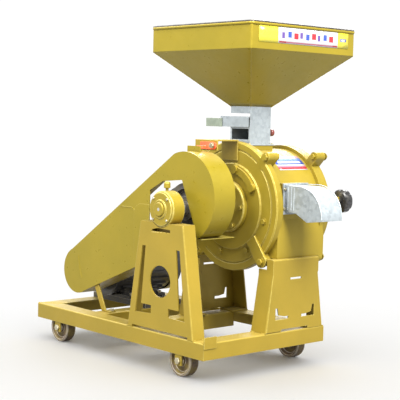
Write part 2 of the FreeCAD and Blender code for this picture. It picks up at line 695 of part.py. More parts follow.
def loft(body, kind, low, low_side, high, high_side):
    """Four-sided taper between two squares."""
    feature = body.newObject(kind, f"{body.Name}_taper")
    feature.Profile = new_sketch(body, "XY_Plane", low, [square(low_side)])
    feature.Sections = [new_sketch(body, "XY_Plane", high, [square(high_side)])]
    feature.Ruled = True
    body.Tip = feature


def make_hopper():
    """Square hopper: upright band on a four-sided cone, with a rolled rim."""
    hopper = new_body("hopper", ("feed_x", "feed_y", 0))
    loft(hopper, "PartDesign::AdditiveLoft", "cone_foot", "throat_side", "band_foot", "hopper_side")
    pad(hopper, "XY_Plane", "band_foot", "hopper_top - band_foot - 2", square("hopper_side"))
    bore = "throat_side - 2 * throat_wall"
    inside = "hopper_side - 2 * hopper_wall"
    loft(hopper, "PartDesign::SubtractiveLoft", "cone_foot", bore, "band_foot", inside)
    pocket(hopper, "XY_Plane", "band_foot", "hopper_top - band_foot", square(inside))
    rim = new_body("hopper_rim", ("feed_x", "feed_y", "hopper_top - 14"))
    pad(rim, "XY_Plane", "0", "14", square("hopper_side + 2 * bead"), square("hopper_side"))
    pad(rim, "XY_Plane", "12", "2", square("hopper_side + bead"), square(inside))


# ---------------------------------------------------------------- outlet
def make_chute():
    """Sheet outlet: flange, straight neck and a hood that bends down."""
    chute = new_body("outlet_chute", (0, "outlet_y", 0))
    wall = "throat_wall"
    end = "bend_x + bend_radius"
    low = "outlet_head - bend_radius"
    pad(chute, "YZ_Plane", "outlet_x", "6", centred("0", "(outlet_foot + outlet_head) / 2", "144", "124"))
    pad(chute, "XZ_Plane", "-outlet_width / 2", "outlet_width", [
        ("outlet_x", "outlet_foot"), ("bend_x - 12", "outlet_foot"), ("bend_x + 49", f"{low} - 10"),
        (end, low, "bend_radius"), ("bend_x", "outlet_head"), ("outlet_x", "outlet_head")])
    pocket(chute, "XZ_Plane", f"-outlet_width / 2 + {wall}", f"outlet_width - 2 * {wall}", [
        ("outlet_x - 1", f"outlet_foot + {wall}"), (f"bend_x - 12 + {wall} / 2", f"outlet_foot + {wall}"),
        (f"bend_x + 49 + {wall}", f"{low} - 12"), (f"{end} - {wall}", f"{low} - 4"),
        (f"{end} - {wall}", low, f"bend_radius - {wall}"), ("bend_x", f"outlet_head - {wall}"),
        ("outlet_x - 1", f"outlet_head - {wall}")])


# ---------------------------------------------------------------- motor
def make_motor_frame():
    """Finned motor frame with its two pairs of feet."""
    at = ("motor_x", "motor_front", "motor_z")
    barrel = rod("motor_radius", "motor_length", at)
    pieces = [barrel]
    for step in range(24):
        turn = Rotation(Vector(0, 1, 0), 15 * step + 7.5)
        pieces.append(box(("3", "motor_length - 60", "12"), at, turn))
        fin = pieces[-1]
        reach = Vector(0, 0, value("motor_radius - 3"))
        offset = turn.multVec(reach)
        place(fin, (f"motor_x + {offset.x:.3f}", "motor_front + 30", f"motor_z + {offset.z:.3f}"), turn)
    sole = "deck + slide_height"
    for middle in ("foot_front", "foot_back"):
        start = ("motor_x - foot_half - 17", f"{middle} - 22", sole)
        pieces.append(box(("2 * foot_half + 34", "44", "14"), start))
        pieces.append(box(("150", "30", "70"), ("motor_x - 75", f"{middle} - 15", sole)))
    bore = rod("motor_radius - 14", "motor_length - 20", (at[0], "motor_front + 10", at[2]))
    passage = rod("motor_shaft_radius + 1", "motor_length + 2", (at[0], "motor_front - 1", at[2]))
    keep(cut(fuse(*pieces), bore, passage), "motor_frame")


def make_motor():
    """Motor frame, end cover, fan cover, fan, rotor and terminal box."""
    make_motor_frame()
    back = "motor_front + motor_length"
    bore = "motor_shaft_radius + running_gap"
    turned("motor_end_cover", [
        (bore, "-30"), ("40", "-30"), ("46", "-22"), ("100", "-16"), ("motor_radius + 6", "-16"),
        ("motor_radius + 6", "0"), (bore, "0")], ("motor_x", "motor_front", "motor_z"))
    turned("fan_cover", [
        ("22", "53"), ("motor_radius - 12", "53"), ("motor_radius + 3", "38"), ("motor_radius + 3", "0.2"),
        ("motor_radius + 6", "0.2"), ("motor_radius + 6", "40"), ("motor_radius - 10", "56"), ("22", "56")],
        ("motor_x", back, "motor_z"))
    fan = turned("motor_fan", [
        ("motor_shaft_radius - 3", "8"), ("30", "8"), ("30", "14"), ("100", "14"), ("100", "18"),
        ("30", "18"), ("30", "36"), ("motor_shaft_radius - 3", "36")], ("motor_x", back, "motor_z"))
    pad(fan, "XZ_Plane", "17", "17", *[fan_blade(45 * step) for step in range(8)])
    turned("motor_shaft", [
        ("0", "drive_front"), ("motor_shaft_radius", "drive_front"),
        ("motor_shaft_radius", "motor_front + 20"), ("70", "motor_front + 22"),
        ("70", f"{back} - 20"), ("motor_shaft_radius - 3", f"{back} - 18"),
        ("motor_shaft_radius - 3", f"{back} + 40"), ("0", f"{back} + 40")], ("motor_x", 0, "motor_z"))
    low = "motor_z + motor_radius + 4"
    lid = box(("110", "110", "14"), ("motor_x - 55", "motor_front + 95", f"{low} + 38"))
    case = box(("100", "100", "52"), ("motor_x - 50", "motor_front + 100", f"{low} - 14"))
    seat = rod("motor_radius + 9.2", "motor_length", ("motor_x", "motor_front", "motor_z"))
    keep(cut(fuse(case, lid), seat), "terminal_box")
    turned("cable_gland", [
        ("0", "0"), ("13", "0"), ("13", "10"), ("10", "11"), ("10", "24"), ("5", "28"), ("0", "28")],
        ("motor_x + 50", "motor_front + 150", f"{low} + 18"), "x")


def fan_blade(angle):
    """Outline of one straight fan blade."""
    corners = []
    for reach, side in (("32", -2), ("96", -2), ("96", 2), ("32", 2)):
        across, up = lug_centre(angle, reach)
        corners.append((f"{across} - {side} * sin({angle} deg)", f"{up} + {side} * cos({angle} deg)"))
    return corners


def make_slide_rails():
    """Two slotted rails that carry the motor's feet."""
    rails = []
    for middle in ("foot_front", "foot_back"):
        start = f"{middle} - slide_width / 2"
        bar = box(("motor_member_x + member_width - base_left - 10", "slide_width", "slide_height"),
                  ("base_left + 7", start, "deck"))
        slot = box(("300", "14", "slide_height + 2"), ("motor_x - 140", f"{middle} - 7", "deck - 1"))
        rails.append(cut(bar, slot))
    keep(group(rails), "slide_rails")


# ---------------------------------------------------------------- belt drive
def make_pulley(name, at, rim, hub, bore):
    """Pulley with three grooves, a web and a hub."""
    profile = [(bore, "0"), (hub, "0"), (hub, "20"), (f"{rim} - 26", "20"), (f"{rim} - 22", "0"), (rim, "0")]
    for index in range(3):
        low = f"drive_width / 2 + {index - 1} * belt_pitch - groove_width / 2"
        floor = f"{rim} - groove_depth"
        high = f"{low} + groove_width"
        profile += [(rim, low), (floor, low), (floor, high), (rim, high)]
    profile += [(rim, "drive_width"), (f"{rim} - 22", "drive_width"), (f"{rim} - 26", "drive_width - 20"),
                (hub, "drive_width - 20"), (hub, "drive_width"), (bore, "drive_width")]
    turned(name, profile, at)


def loop(big_x, big_z, big, small):
    """Anticlockwise outline of a belt or guard around both shafts."""
    run = f"(({big_x}) - motor_x)"
    rise = f"(({big_z}) - motor_z)"
    lean = f"atan({rise} / {run})"
    spread = f"asin((({big}) - ({small})) / sqrt({run} * {run} + {rise} * {rise}))"
    upper = f"({lean} + 90 deg - {spread})"
    lower = f"({lean} - 90 deg + {spread})"
    return [
        (f"{big_x} + ({big}) * cos{lower}", f"{big_z} + ({big}) * sin{lower}", big),
        (f"{big_x} + ({big}) * cos({lean})", f"{big_z} + ({big}) * sin({lean})", big),
        (f"{big_x} + ({big}) * cos{upper}", f"{big_z} + ({big}) * sin{upper}"),
        (f"motor_x + ({small}) * cos{upper}", f"motor_z + ({small}) * sin{upper}", small),
        (f"motor_x - ({small}) * cos({lean})", f"motor_z - ({small}) * sin({lean})", small),
        (f"motor_x + ({small}) * cos{lower}", f"motor_z + ({small}) * sin{lower}")]


def make_belts():
    """Three endless belts around both pulleys."""
    belts = new_body("v_belts", (0, "drive_front + drive_width / 2", 0))
    for index in (-1, 0, 1):
        start = f"{index} * belt_pitch - belt_width / 2"
        pad(belts, "XZ_Plane", start, "belt_width",
            loop("shaft_x", "shaft_z", "driven_radius + 1", "driver_radius + 1"),
            loop("shaft_x", "shaft_z", "driven_radius + 1 - belt_depth", "driver_radius + 1 - belt_depth"))


def make_drive():
    driven = ("shaft_x", "drive_front", "shaft_z")
    driver = ("motor_x", "drive_front", "motor_z")
    make_pulley("driven_pulley", driven, "driven_radius", "48", "shaft_radius")
    make_pulley("motor_pulley", driver, "driver_radius", "36", "motor_shaft_radius")
    make_belts()


# ---------------------------------------------------------------- guard
def make_guard_cover():
    """Drive guard, open behind, cut away around the outboard bearing, with a lug on its top."""
    cover = new_body("guard_cover", (0, "guard_front", 0))
    pad(cover, "XZ_Plane", 0, "guard_depth", loop("guard_x", "guard_z", "guard_big", "guard_small"))
    pocket(cover, "XZ_Plane", "guard_sheet", "guard_depth",
           loop("guard_x", "guard_z", "guard_big - guard_sheet", "guard_small - guard_sheet"))
    pocket(cover, "XZ_Plane", -1, "guard_depth + 2", [
        ("9", "300"), ("330", "300"), ("330", "490"), ("305", "532"), ("207", "752"), ("91", "741"),
        ("9", "700")])
    pad(cover, "XZ_Plane", "48", "6", rectangle("guard_x - 40", "guard_z + guard_big - 8", "74", "30"))


def make_guard_parts():
    """Overlapping front panel, closing plate, hanger, latch and strut."""
    panel = new_body("guard_panel", (0, "guard_front - guard_sheet", 0))
    pad(panel, "XZ_Plane", 0, "guard_sheet", [
        ("-85", "371"), ("9", "409"), ("9", "640"), ("-45", "640", "45"), ("-90", "595")])
    tray = box(("120", "172", "3"), ("guard_x - 8", "guard_front + guard_sheet", "526"))
    keep(tray, "guard_base_plate")
    top = "shaft_z + plate_radius"
    left = "shaft_x - 59"
    face = "chamber_front - plate_depth"
    shelf = box(("96", "145", "6"), (left, f"{face} - 145", top))
    back = box(("96", "6", "84"), (left, f"{face} - 6", f"{top} - 78"))
    lip = box(("132", "6", "42"), (left, f"{face} - 151", f"{top} - 36"))
    keep(fuse(shelf, back, lip), "guard_bracket")
    strut = new_body("guard_strut", (0, "guard_front + 6", 0))
    pad(strut, "XZ_Plane", 0, "6", [
        ("motor_member_x + 10", "deck"), ("motor_member_x + 66", "deck"),
        ("motor_member_x + 66", "deck + 6"), ("motor_member_x + 38", "deck + 6"), ("-338", "266.4"),
        ("-366", "255")])
    pad(strut, "XZ_Plane", 0, "34", rectangle("motor_member_x + 22", "deck", "44", "6"))


def make_latch():
    """Red latch lever with a nose that presses on the guard."""
    pivot = ("shaft_x + latch_x", "chamber_front - plate_depth - 151", "shaft_z + 250")
    latch = new_body("guard_latch", pivot)
    pad(latch, "XZ_Plane", "-6.3", "6", [
        ("-78", "-16"), ("6", "-16"), ("14", "-6"), ("14", "8"), ("4", "14"), ("-78", "14")])
    pad(latch, "XZ_Plane", "-26", "20", rectangle("-78", "-14", "34", "12"))
    pocket(latch, "XZ_Plane", "-8", "10", ("0", "0", "6.1"))


# ---------------------------------------------------------------- fasteners
def bolts_around(reach, angles, radius, start, height):
    """Bolt heads on a circle about the main shaft."""
    heads = []
    for angle in angles:
        across, up = lug_centre(angle, reach)
        heads.append(hexagon(radius, height, (f"shaft_x + {across}", start, f"shaft_z + {up}")))
    return heads


def make_bolts():
    """Bolt heads and nuts, grouped by where they sit."""
    front = "chamber_front - plate_depth"
    pieces = bolts_around("199", (-106, -60, -14, 164, 210), "11", f"{front} - 8", "8")
    pieces += bolts_around("88", range(0, 360, 60), "9", f"{front} - disc_step - hub_depth - 7", "7")
    for angle in LUG_ANGLES:
        across, up = lug_centre(angle)
        at = (f"shaft_x + {across}", f"{front} - 12", f"shaft_z + {up}")
        stem = rod("lug_hole", "plate_depth + flange_depth + 24", at)
        head = hexagon("15", "12", at)
        nut = hexagon("15", "12", (at[0], "chamber_front + flange_depth", at[2]))
        pieces.append(fuse(stem, head, nut))
    keep(group(pieces), "chamber_bolts")
    small = bolts_around("58", (45, 135, 225, 315), "5.5", "block_front - 10", "4")
    for side in (-1, 1):
        for height in ("outlet_foot + 14", "outlet_head - 14"):
            small.append(hexagon("5.5", "5", ("outlet_x + 6", f"outlet_y + {side} * 65.5", height), "x"))
        for middle in ("foot_front", "foot_back"):
            spot = (f"motor_x + {side} * foot_half", middle, "deck + slide_height + 14")
            small.append(hexagon("11", "10", spot, "z"))
    small.append(hexagon("10", "8", ("motor_member_x + 56", "guard_front + 26", "deck + 6"), "z"))
    pivot = ("shaft_x + latch_x", f"{front} - 172", "shaft_z + 250")
    small.append(fuse(hexagon("12", "10", pivot), rod("6", "21", pivot)))
    keep(group(small), "small_bolts")


make_base()
make_wheels()
make_stands()
make_bearing_block()
make_bearings()
make_chamber_body()
make_front_plate()
make_door()
make_knob()
make_sieve()
make_shaft()
make_rotor_discs()
make_hammers()
make_throat()
make_gate()
make_hopper()
make_chute()
make_motor()
make_slide_rails()
make_drive()
make_guard_cover()
make_guard_parts()
make_latch()
make_bolts()
doc.recompute()

# ---------------------------------------------------------------- check and write
faults = [f"{item.Label}: {item.State}" for item in doc.Objects if {"Invalid", "Error"} & set(item.State)]
for item in nodes:
    if item.Shape.isNull() or not item.Shape.isValid() or not item.Shape.Solids:
        faults.append(f"{item.Label}: empty or invalid shape")
if faults:
    raise RuntimeError("; ".join(faults))
os.makedirs("parts", exist_ok=True)
for item in nodes:
    item.Shape.exportStep(f"parts/{item.Label}.step")
box_all = FreeCAD.BoundBox()
for item in nodes:
    box_all.add(item.Shape.BoundBox)
print(len(nodes), "sub-parts", box_all)
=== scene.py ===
"""Hammer mill on a wheeled frame: finishes, rounded edges, welds, labels and small fittings.

Everything is in metres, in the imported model's own frame, and places come from the boxes of its nodes.
"""
import math

import bmesh
import bpy
from mathutils import Matrix, Vector, noise


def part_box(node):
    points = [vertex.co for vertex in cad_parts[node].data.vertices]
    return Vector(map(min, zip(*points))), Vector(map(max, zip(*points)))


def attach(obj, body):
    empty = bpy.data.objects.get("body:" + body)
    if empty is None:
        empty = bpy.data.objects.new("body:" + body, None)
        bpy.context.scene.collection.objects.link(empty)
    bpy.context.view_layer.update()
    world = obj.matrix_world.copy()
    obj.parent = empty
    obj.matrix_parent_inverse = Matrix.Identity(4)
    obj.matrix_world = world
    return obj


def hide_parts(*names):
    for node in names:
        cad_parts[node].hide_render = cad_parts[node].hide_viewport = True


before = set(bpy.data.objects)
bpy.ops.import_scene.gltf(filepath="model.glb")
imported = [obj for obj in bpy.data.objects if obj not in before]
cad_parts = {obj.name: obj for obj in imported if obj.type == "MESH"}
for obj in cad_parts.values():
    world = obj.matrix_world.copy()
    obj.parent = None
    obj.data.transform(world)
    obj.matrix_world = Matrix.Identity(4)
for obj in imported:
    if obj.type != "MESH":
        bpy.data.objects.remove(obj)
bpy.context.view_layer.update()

bl_info = {
    "name": "Hammer mill looks",
    "version": (1, 0, 0),
    "blender": (4, 5, 0),
    "location": "View3D > Sidebar > Hammer mill",
    "description": "Builds the visible pieces and finishes of a hammer mill around its packed frame",
    "category": "Object",
}

MM = 0.001
finishes = {}


def low(node):
    """Lowest corner of a node."""
    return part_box(node)[0]


def high(node):
    """Highest corner of a node."""
    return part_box(node)[1]


def middle(node):
    """Middle of a node's box."""
    return (low(node) + high(node)) / 2


# the shaft line, the drum and the lugs that most places are worked out from
SHAFT = Vector((middle("main_shaft").x, 0, middle("main_shaft").z))
DRUM_RADIUS = 235 * MM
LUG_REACH = 286 * MM
LUG_ANGLES = (47, 133, 227, 313)
STRAP_LUG_ANGLE = LUG_ANGLES[3]

# angles in degrees that tell a sharp edge from a smooth surface, and a fold from a flat
SHARP_ANGLE = 32
FLAT_ANGLE = 0.6
FOLD_ANGLES = (50, 130)
SHORTEST_FOLD = 90 * MM


def around(angle, reach, along=0.0, centre=SHAFT):
    """Point at an angle in degrees about the shaft, at a reach from it and a place along it."""
    turn = math.radians(angle)
    return Vector((centre.x + reach * math.cos(turn), along, centre.z + reach * math.sin(turn)))


# ---------------------------------------------------------------- settings
def tint_setting(name, description, default):
    """Setting for one colour."""
    return bpy.props.FloatVectorProperty(
        name=name, description=description, subtype="COLOR", size=3, default=default)


def length_setting(name, description, default):
    """Setting for one size in metres."""
    return bpy.props.FloatProperty(name=name, description=description, unit="LENGTH", default=default)


class MillPaint(bpy.types.PropertyGroup):
    """Colours of the paints and metals."""
    enamel: tint_setting(
        "Enamel", "Gold-yellow enamel of frame, castings and sheet", (0.265, 0.200, 0.016))
    # Edge colour: paler paint where it wears thin, also standing in for a painted highlight along the
    # edges.
    enamel_wear_and_highlight: tint_setting(
        "Enamel edges", "Paler paint where it is thin along the edges", (0.46, 0.39, 0.12))
    # Corner colour: painted shade in the corners, with a brown, oily tint.
    shade_and_grime_tint: tint_setting(
        "Grime", "Oily dust in the corners", (0.085, 0.052, 0.012))
    zinc: tint_setting(
        "Zinc", "Galvanised sheet", (0.31, 0.35, 0.38))
    iron: tint_setting(
        "Iron", "Cast iron of the wheels", (0.085, 0.055, 0.030))
    motor: tint_setting(
        "Motor", "Black enamel of the motor", (0.012, 0.012, 0.014))
    latch: tint_setting(
        "Latch", "Red-orange enamel of the guard's latch", (0.75, 0.10, 0.03))


class MillSizes(bpy.types.PropertyGroup):
    """Sizes of the details."""
    edge: length_setting("Edge", "Rounding of sawn and cast edges", 1.5 * MM)
    fold: length_setting("Fold", "Outer radius where plate is folded", 7 * MM)
    weld: length_setting("Weld", "Radius of a weld bead", 3.2 * MM)
    wave: length_setting("Wave", "Waviness of the hopper's sheet", 1.6 * MM)
    floor: length_setting("Floor", "Radius of the floor", 30.0)


def paint():
    """The colours set for the mill."""
    return bpy.context.scene.mill_paint


def sizes():
    """The detail sizes set for the mill."""
    return bpy.context.scene.mill_sizes


# ---------------------------------------------------------------- finishes
class Finish:
    """One procedural material, built node by node."""

    def __init__(self, name, roughness=0.4, metallic=0.0, coat=0.0):
        self.material = bpy.data.materials.new(name)
        self.material.use_nodes = True
        self.tree = self.material.node_tree
        self.shader = self.tree.nodes["Principled BSDF"]
        self.shader.inputs["Roughness"].default_value = roughness
        self.shader.inputs["Metallic"].default_value = metallic
        self.shader.inputs["Coat Weight"].default_value = coat
        self.shader.inputs["Coat Roughness"].default_value = 0.18
        self.place = self.tree.nodes.new("ShaderNodeTexCoord").outputs["Object"]
        finishes[name] = self.material

    def feed(self, socket, source):
        """Link a socket to another node, or give it a plain value."""
        if isinstance(source, bpy.types.NodeSocket):
            self.tree.links.new(source, socket)
        elif hasattr(socket.default_value, "__len__") and len(socket.default_value) == 4:
            socket.default_value = (*source[:3], 1)
        else:
            socket.default_value = source

    def add(self, kind, *sources, output=0, **settings):
        """Add a node with its settings, and feed its first sockets in order."""
        made = self.tree.nodes.new(f"ShaderNode{kind}")
        for name, setting in settings.items():
            setattr(made, name, setting)
        for socket, source in zip(made.inputs, sources):
            if source is not None:
                self.feed(socket, source)
        return made.outputs[output]

    def noise(self, scale, detail=3, stretch=(1, 1, 1)):
        """Noise from 0 to 1; the scale is in waves a metre."""
        place = self.add("Mapping", self.place, None, None, stretch)
        return self.add("TexNoise", place, None, scale, detail, 0.55)

    def cells(self, scale, output="Distance"):
        """Cell pattern; the scale is in cells a metre."""
        made = self.tree.nodes.new("ShaderNodeTexVoronoi")
        self.feed(made.inputs["Vector"], self.place)
        made.inputs["Scale"].default_value = scale
        return made.outputs[output]

    def ramp(self, source, *stops, steps=False):
        """Curve or bands over a value; each stop is a place and a tone."""
        made = self.tree.nodes.new("ShaderNodeValToRGB")
        made.color_ramp.interpolation = "CONSTANT" if steps else "LINEAR"
        elements = made.color_ramp.elements
        elements.remove(elements[1])
        for number, (place, tone) in enumerate(stops):
            element = elements[0] if number == 0 else elements.new(place)
            element.position = place
            element.color = (tone, tone, tone, 1) if isinstance(tone, (int, float)) else (*tone[:3], 1)
        self.feed(made.inputs[0], source)
        return made.outputs[0]

    def maths(self, operation, *sources):
        """A sum, product or other operation on values."""
        return self.add("Math", *sources, operation=operation)

    def mix(self, share, first, second, blend="MIX"):
        """Mix of two colours."""
        made = self.tree.nodes.new("ShaderNodeMix")
        made.data_type = "RGBA"
        made.blend_type = blend
        for index, source in ((0, share), (6, first), (7, second)):
            self.feed(made.inputs[index], source)
        return made.outputs[2]

    def corners(self, distance):
        """1 in the open, towards 0 in corners."""
        made = self.tree.nodes.new("ShaderNodeAmbientOcclusion")
        made.samples = 4
        made.inputs["Distance"].default_value = distance
        return made.outputs["AO"]

    def edges(self):
        """1 on the faces that round an edge."""
        made = self.tree.nodes.new("ShaderNodeAttribute")
        made.attribute_name = "edge"
        return made.outputs["Fac"]

    def upward(self):
        """How far the surface faces up, where dust settles."""
        facing = self.add("NewGeometry", output="Normal")
        return self.add("SeparateXYZ", facing, output="Z")

    def colour(self, source):
        self.feed(self.shader.inputs["Base Color"], source)

    def rough(self, source):
        self.feed(self.shader.inputs["Roughness"], source)

    def relief(self, *layers):
        """Bumps, each a height, a strength and a depth in metres."""
        normal = None
        for height, strength, depth in layers:
            made = self.tree.nodes.new("ShaderNodeBump")
            made.inputs["Strength"].default_value = strength
            made.inputs["Distance"].default_value = depth
            self.feed(made.inputs["Height"], height)
            if normal:
                self.feed(made.inputs["Normal"], normal)
            normal = made.outputs["Normal"]
        self.feed(self.shader.inputs["Normal"], normal)


def shade(colour, share):
    """The colour made lighter or darker."""
    return tuple(min(1.0, part * share) for part in colour[:3])


def make_enamel(name, tone, warmth, grain, pits=0.0, roughness=0.36):
    """Sprayed gold enamel: cloudy colour, orange peel, paler edges that are part wear and part painted
    highlight, dust on top, and painted shade in the corners with a brown, grimy tint.
    """
    finish = Finish(name, metallic=0.25, coat=0.05)
    finish.shader.inputs["Specular IOR Level"].default_value = 0.25
    red, green, blue = shade(paint().enamel, tone)
    base = (red * (1 + warmth), green, blue * (1 + 6 * warmth))
    cloud = finish.ramp(finish.noise(5, 4), (0.3, 0.0), (0.7, 1.0))
    tint = finish.mix(cloud, shade((base[0] * 0.97, base[1], base[2]), 0.93), shade(base, 1.05))
    # Paler edges: partly wear, partly a painted highlight along the rounded edges.
    rubbing = finish.ramp(finish.noise(90, 4), (0.34, 0.25), (0.66, 0.85))
    edge_wear_and_highlight = finish.maths("MULTIPLY", finish.edges(), rubbing)
    tint = finish.mix(edge_wear_and_highlight, tint, paint().enamel_wear_and_highlight)
    # Painted shade: an occlusion mask darkens the corners towards a dark brown, broken up by noise so it
    # also reads as grimy deposits.
    corner_occlusion = finish.ramp(finish.corners(30 * MM), (0.20, 0.80), (0.62, 0.0))
    corner_shade_and_grime = finish.maths("MULTIPLY", corner_occlusion, finish.ramp(finish.noise(14, 3), (0.28, 0.55), (0.62, 0.9)))
    tint = finish.mix(corner_shade_and_grime, tint, paint().shade_and_grime_tint)
    settled = finish.maths("MULTIPLY", finish.ramp(finish.upward(), (0.70, 0.0), (0.98, 1.0)),
                           finish.ramp(finish.noise(9, 3), (0.35, 0.10), (0.75, 0.35)))
    finish.colour(finish.mix(settled, tint, (0.44, 0.37, 0.18)))
    finish.rough(finish.ramp(finish.noise(45, 4), (0.3, roughness - 0.08), (0.7, roughness + 0.12)))
    layers = [(finish.noise(grain, 1), 0.02, 0.4 * MM), (finish.noise(11, 2), 0.25, 4 * MM)]
    if pits:
        layers.append((finish.ramp(finish.cells(240), (0.0, 0.0), (0.35, 1.0)), pits, 0.6 * MM))
    finish.relief(*layers)


def make_galvanised(name, tone):
    """Zinc-coated sheet with its spangle and a few dull stains, and painted shade darkening its corners.
    """
    zinc = shade(paint().zinc, tone)
    finish = Finish(name, metallic=0.45, coat=0.1)
    spangle = finish.add("SeparateColor", finish.cells(75, "Color"))
    flake = finish.ramp(spangle, (0.0, shade(zinc, 0.92)), (1.0, shade(zinc, 1.14)))
    stain = finish.ramp(finish.noise(12, 4), (0.45, 0.0), (0.75, 0.35))
    tint = finish.mix(stain, flake, shade(zinc, 0.72))
    # Painted shade: corners darkened towards near-black by an occlusion mask.
    corner_occlusion = finish.ramp(finish.corners(30 * MM), (0.30, 0.8), (0.75, 0.0))
    finish.colour(finish.mix(corner_occlusion, tint, (0.10, 0.10, 0.09)))
    finish.rough(finish.ramp(spangle, (0.0, 0.30), (1.0, 0.50)))
    finish.relief((spangle, 0.10, 0.3 * MM), (finish.noise(14, 2), 0.3, 3 * MM))


def make_steel(name, tint, roughness, lines):
    """Turned or rolled steel with fine lines around the Y axis."""
    finish = Finish(name, metallic=0.9)
    line = finish.noise(lines, 3, (0.15, 1, 0.15))
    patch = finish.ramp(finish.noise(30, 4), (0.42, 0.0), (0.75, 0.5))
    tone = finish.ramp(line, (0.3, shade(tint, 0.82)), (0.7, shade(tint, 1.15)))
    finish.colour(finish.mix(patch, tone, (0.20, 0.15, 0.09)))
    finish.rough(finish.ramp(line, (0.3, roughness), (0.7, roughness + 0.16)))
    finish.relief((line, 0.22, 0.2 * MM))


def make_iron(name, tint, spray):
    """Rough cast iron, with paint spray drifted on it."""
    finish = Finish(name, roughness=0.62, metallic=0.15)
    grain = finish.noise(170, 4)
    tone = finish.ramp(grain, (0.3, shade(tint, 0.6)), (0.7, shade(tint, 1.45)))
    drift = finish.ramp(finish.noise(26, 5), (0.44, 0.0), (0.66, spray))
    tone = finish.mix(drift, tone, shade(paint().enamel, 0.75))
    edge_wear_and_highlight = finish.maths("MULTIPLY", finish.edges(), 0.55)
    finish.colour(finish.mix(edge_wear_and_highlight, tone, (0.42, 0.38, 0.32)))
    finish.relief((grain, 0.45, 0.7 * MM), (finish.noise(40, 3), 0.3, 1.5 * MM))


def make_plain_coat(name, tint, roughness, coat, grain, wear):
    """Enamel or moulded plastic in one colour, faded in patches and rubbed on its edges."""
    finish = Finish(name, coat=coat)
    cloud = finish.ramp(finish.noise(24, 4), (0.3, shade(tint, 0.78)), (0.7, shade(tint, 1.3)))
    rubbing = finish.ramp(finish.noise(120, 3), (0.4, 0.1), (0.6, wear))
    rubbed = finish.maths("MULTIPLY", finish.edges(), rubbing)
    light = tuple(part * 0.55 + 0.22 for part in tint[:3])
    tone = finish.mix(rubbed, cloud, light)
    dust = finish.ramp(finish.noise(40, 4), (0.52, 0.0), (0.80, 0.14))
    finish.colour(finish.mix(dust, tone, (0.32, 0.29, 0.22)))
    finish.rough(finish.ramp(finish.noise(50, 3), (0.3, roughness - 0.07), (0.7, roughness + 0.1)))
    finish.relief((finish.noise(grain, 2), 0.2, 0.3 * MM))


def make_rubber(name):
    """Wrapped belt rubber with its cloth grain."""
    finish = Finish(name, roughness=0.78)
    warp = finish.noise(900, 2, (1, 0.3, 1))
    cloth = finish.maths("MULTIPLY", warp, finish.noise(900, 2, (0.3, 1, 0.3)))
    chalk = finish.ramp(finish.noise(18, 5), (0.50, 0.0), (0.80, 0.35))
    tone = finish.ramp(cloth, (0.15, 0.010), (0.45, 0.035))
    finish.colour(finish.mix(chalk, tone, (0.13, 0.12, 0.10)))
    finish.relief((cloth, 0.5, 0.4 * MM))


def make_label(name, bands, marks, share):
    """Printed vinyl label: bands up its height, and a row of small plain marks."""
    finish = Finish(name, roughness=0.34, coat=0.3)
    chart = finish.tree.nodes.new("ShaderNodeUVMap")
    chart.uv_map = "label"
    across = finish.add("SeparateXYZ", chart.outputs[0], output="X")
    up = finish.add("SeparateXYZ", chart.outputs[0], output="Y")
    tone = finish.ramp(up, *bands, steps=True)
    for start, end, floor, top, colour in marks:
        inside = finish.maths("GREATER_THAN", across, start)
        limits = (("LESS_THAN", across, end), ("GREATER_THAN", up, floor), ("LESS_THAN", up, top))
        for operation, value, edge in limits:
            inside = finish.maths("MULTIPLY", inside, finish.maths(operation, value, edge))
        tone = finish.mix(inside, tone, colour)
    scuff = finish.ramp(finish.noise(150, 4), (0.55, 0.0), (0.80, share))
    finish.colour(finish.mix(scuff, tone, (0.32, 0.28, 0.18)))
    finish.relief((finish.noise(260, 2), 0.1, 0.2 * MM))


PALE_BLUE = (0.10, 0.18, 0.45)
YELLOW, WHITE, RED, BLUE, PINK, VIOLET = (
    (0.50, 0.44, 0.03), (0.40, 0.41, 0.43), (0.36, 0.01, 0.02), (0.02, 0.05, 0.28), (0.40, 0.10, 0.16),
    (0.08, 0.04, 0.20))


def strip_marks():
    """Plain blocks of colour on the hopper's strip, with no letters."""
    marks = [(0.205, 0.875, 0.0, 1.0, WHITE), (0.215, 0.870, 0.05, 0.13, PINK),
             (0.215, 0.290, 0.04, 0.14, RED), (0.815, 0.870, 0.04, 0.14, RED),
             (0.015, 0.190, 0.38, 0.52, (0.80, 0.36, 0.03))]
    for step in range(9):
        start = 0.245 + step * 0.066
        colour = (VIOLET, BLUE, RED)[step % 3]
        floor = 0.40 + 0.07 * (step % 2)
        marks.append((start, start + 0.030 + 0.009 * (step % 3), floor - 0.08, floor + 0.30, colour))
    marks.append((0.905, 0.975, 0.42, 0.62, BLUE))
    marks.append((0.918, 0.962, 0.46, 0.58, WHITE))
    return marks


class Step:
    """What every button does: build its pieces and finish."""

    def execute(self, context):
        self.build(context)
        return {"FINISHED"}


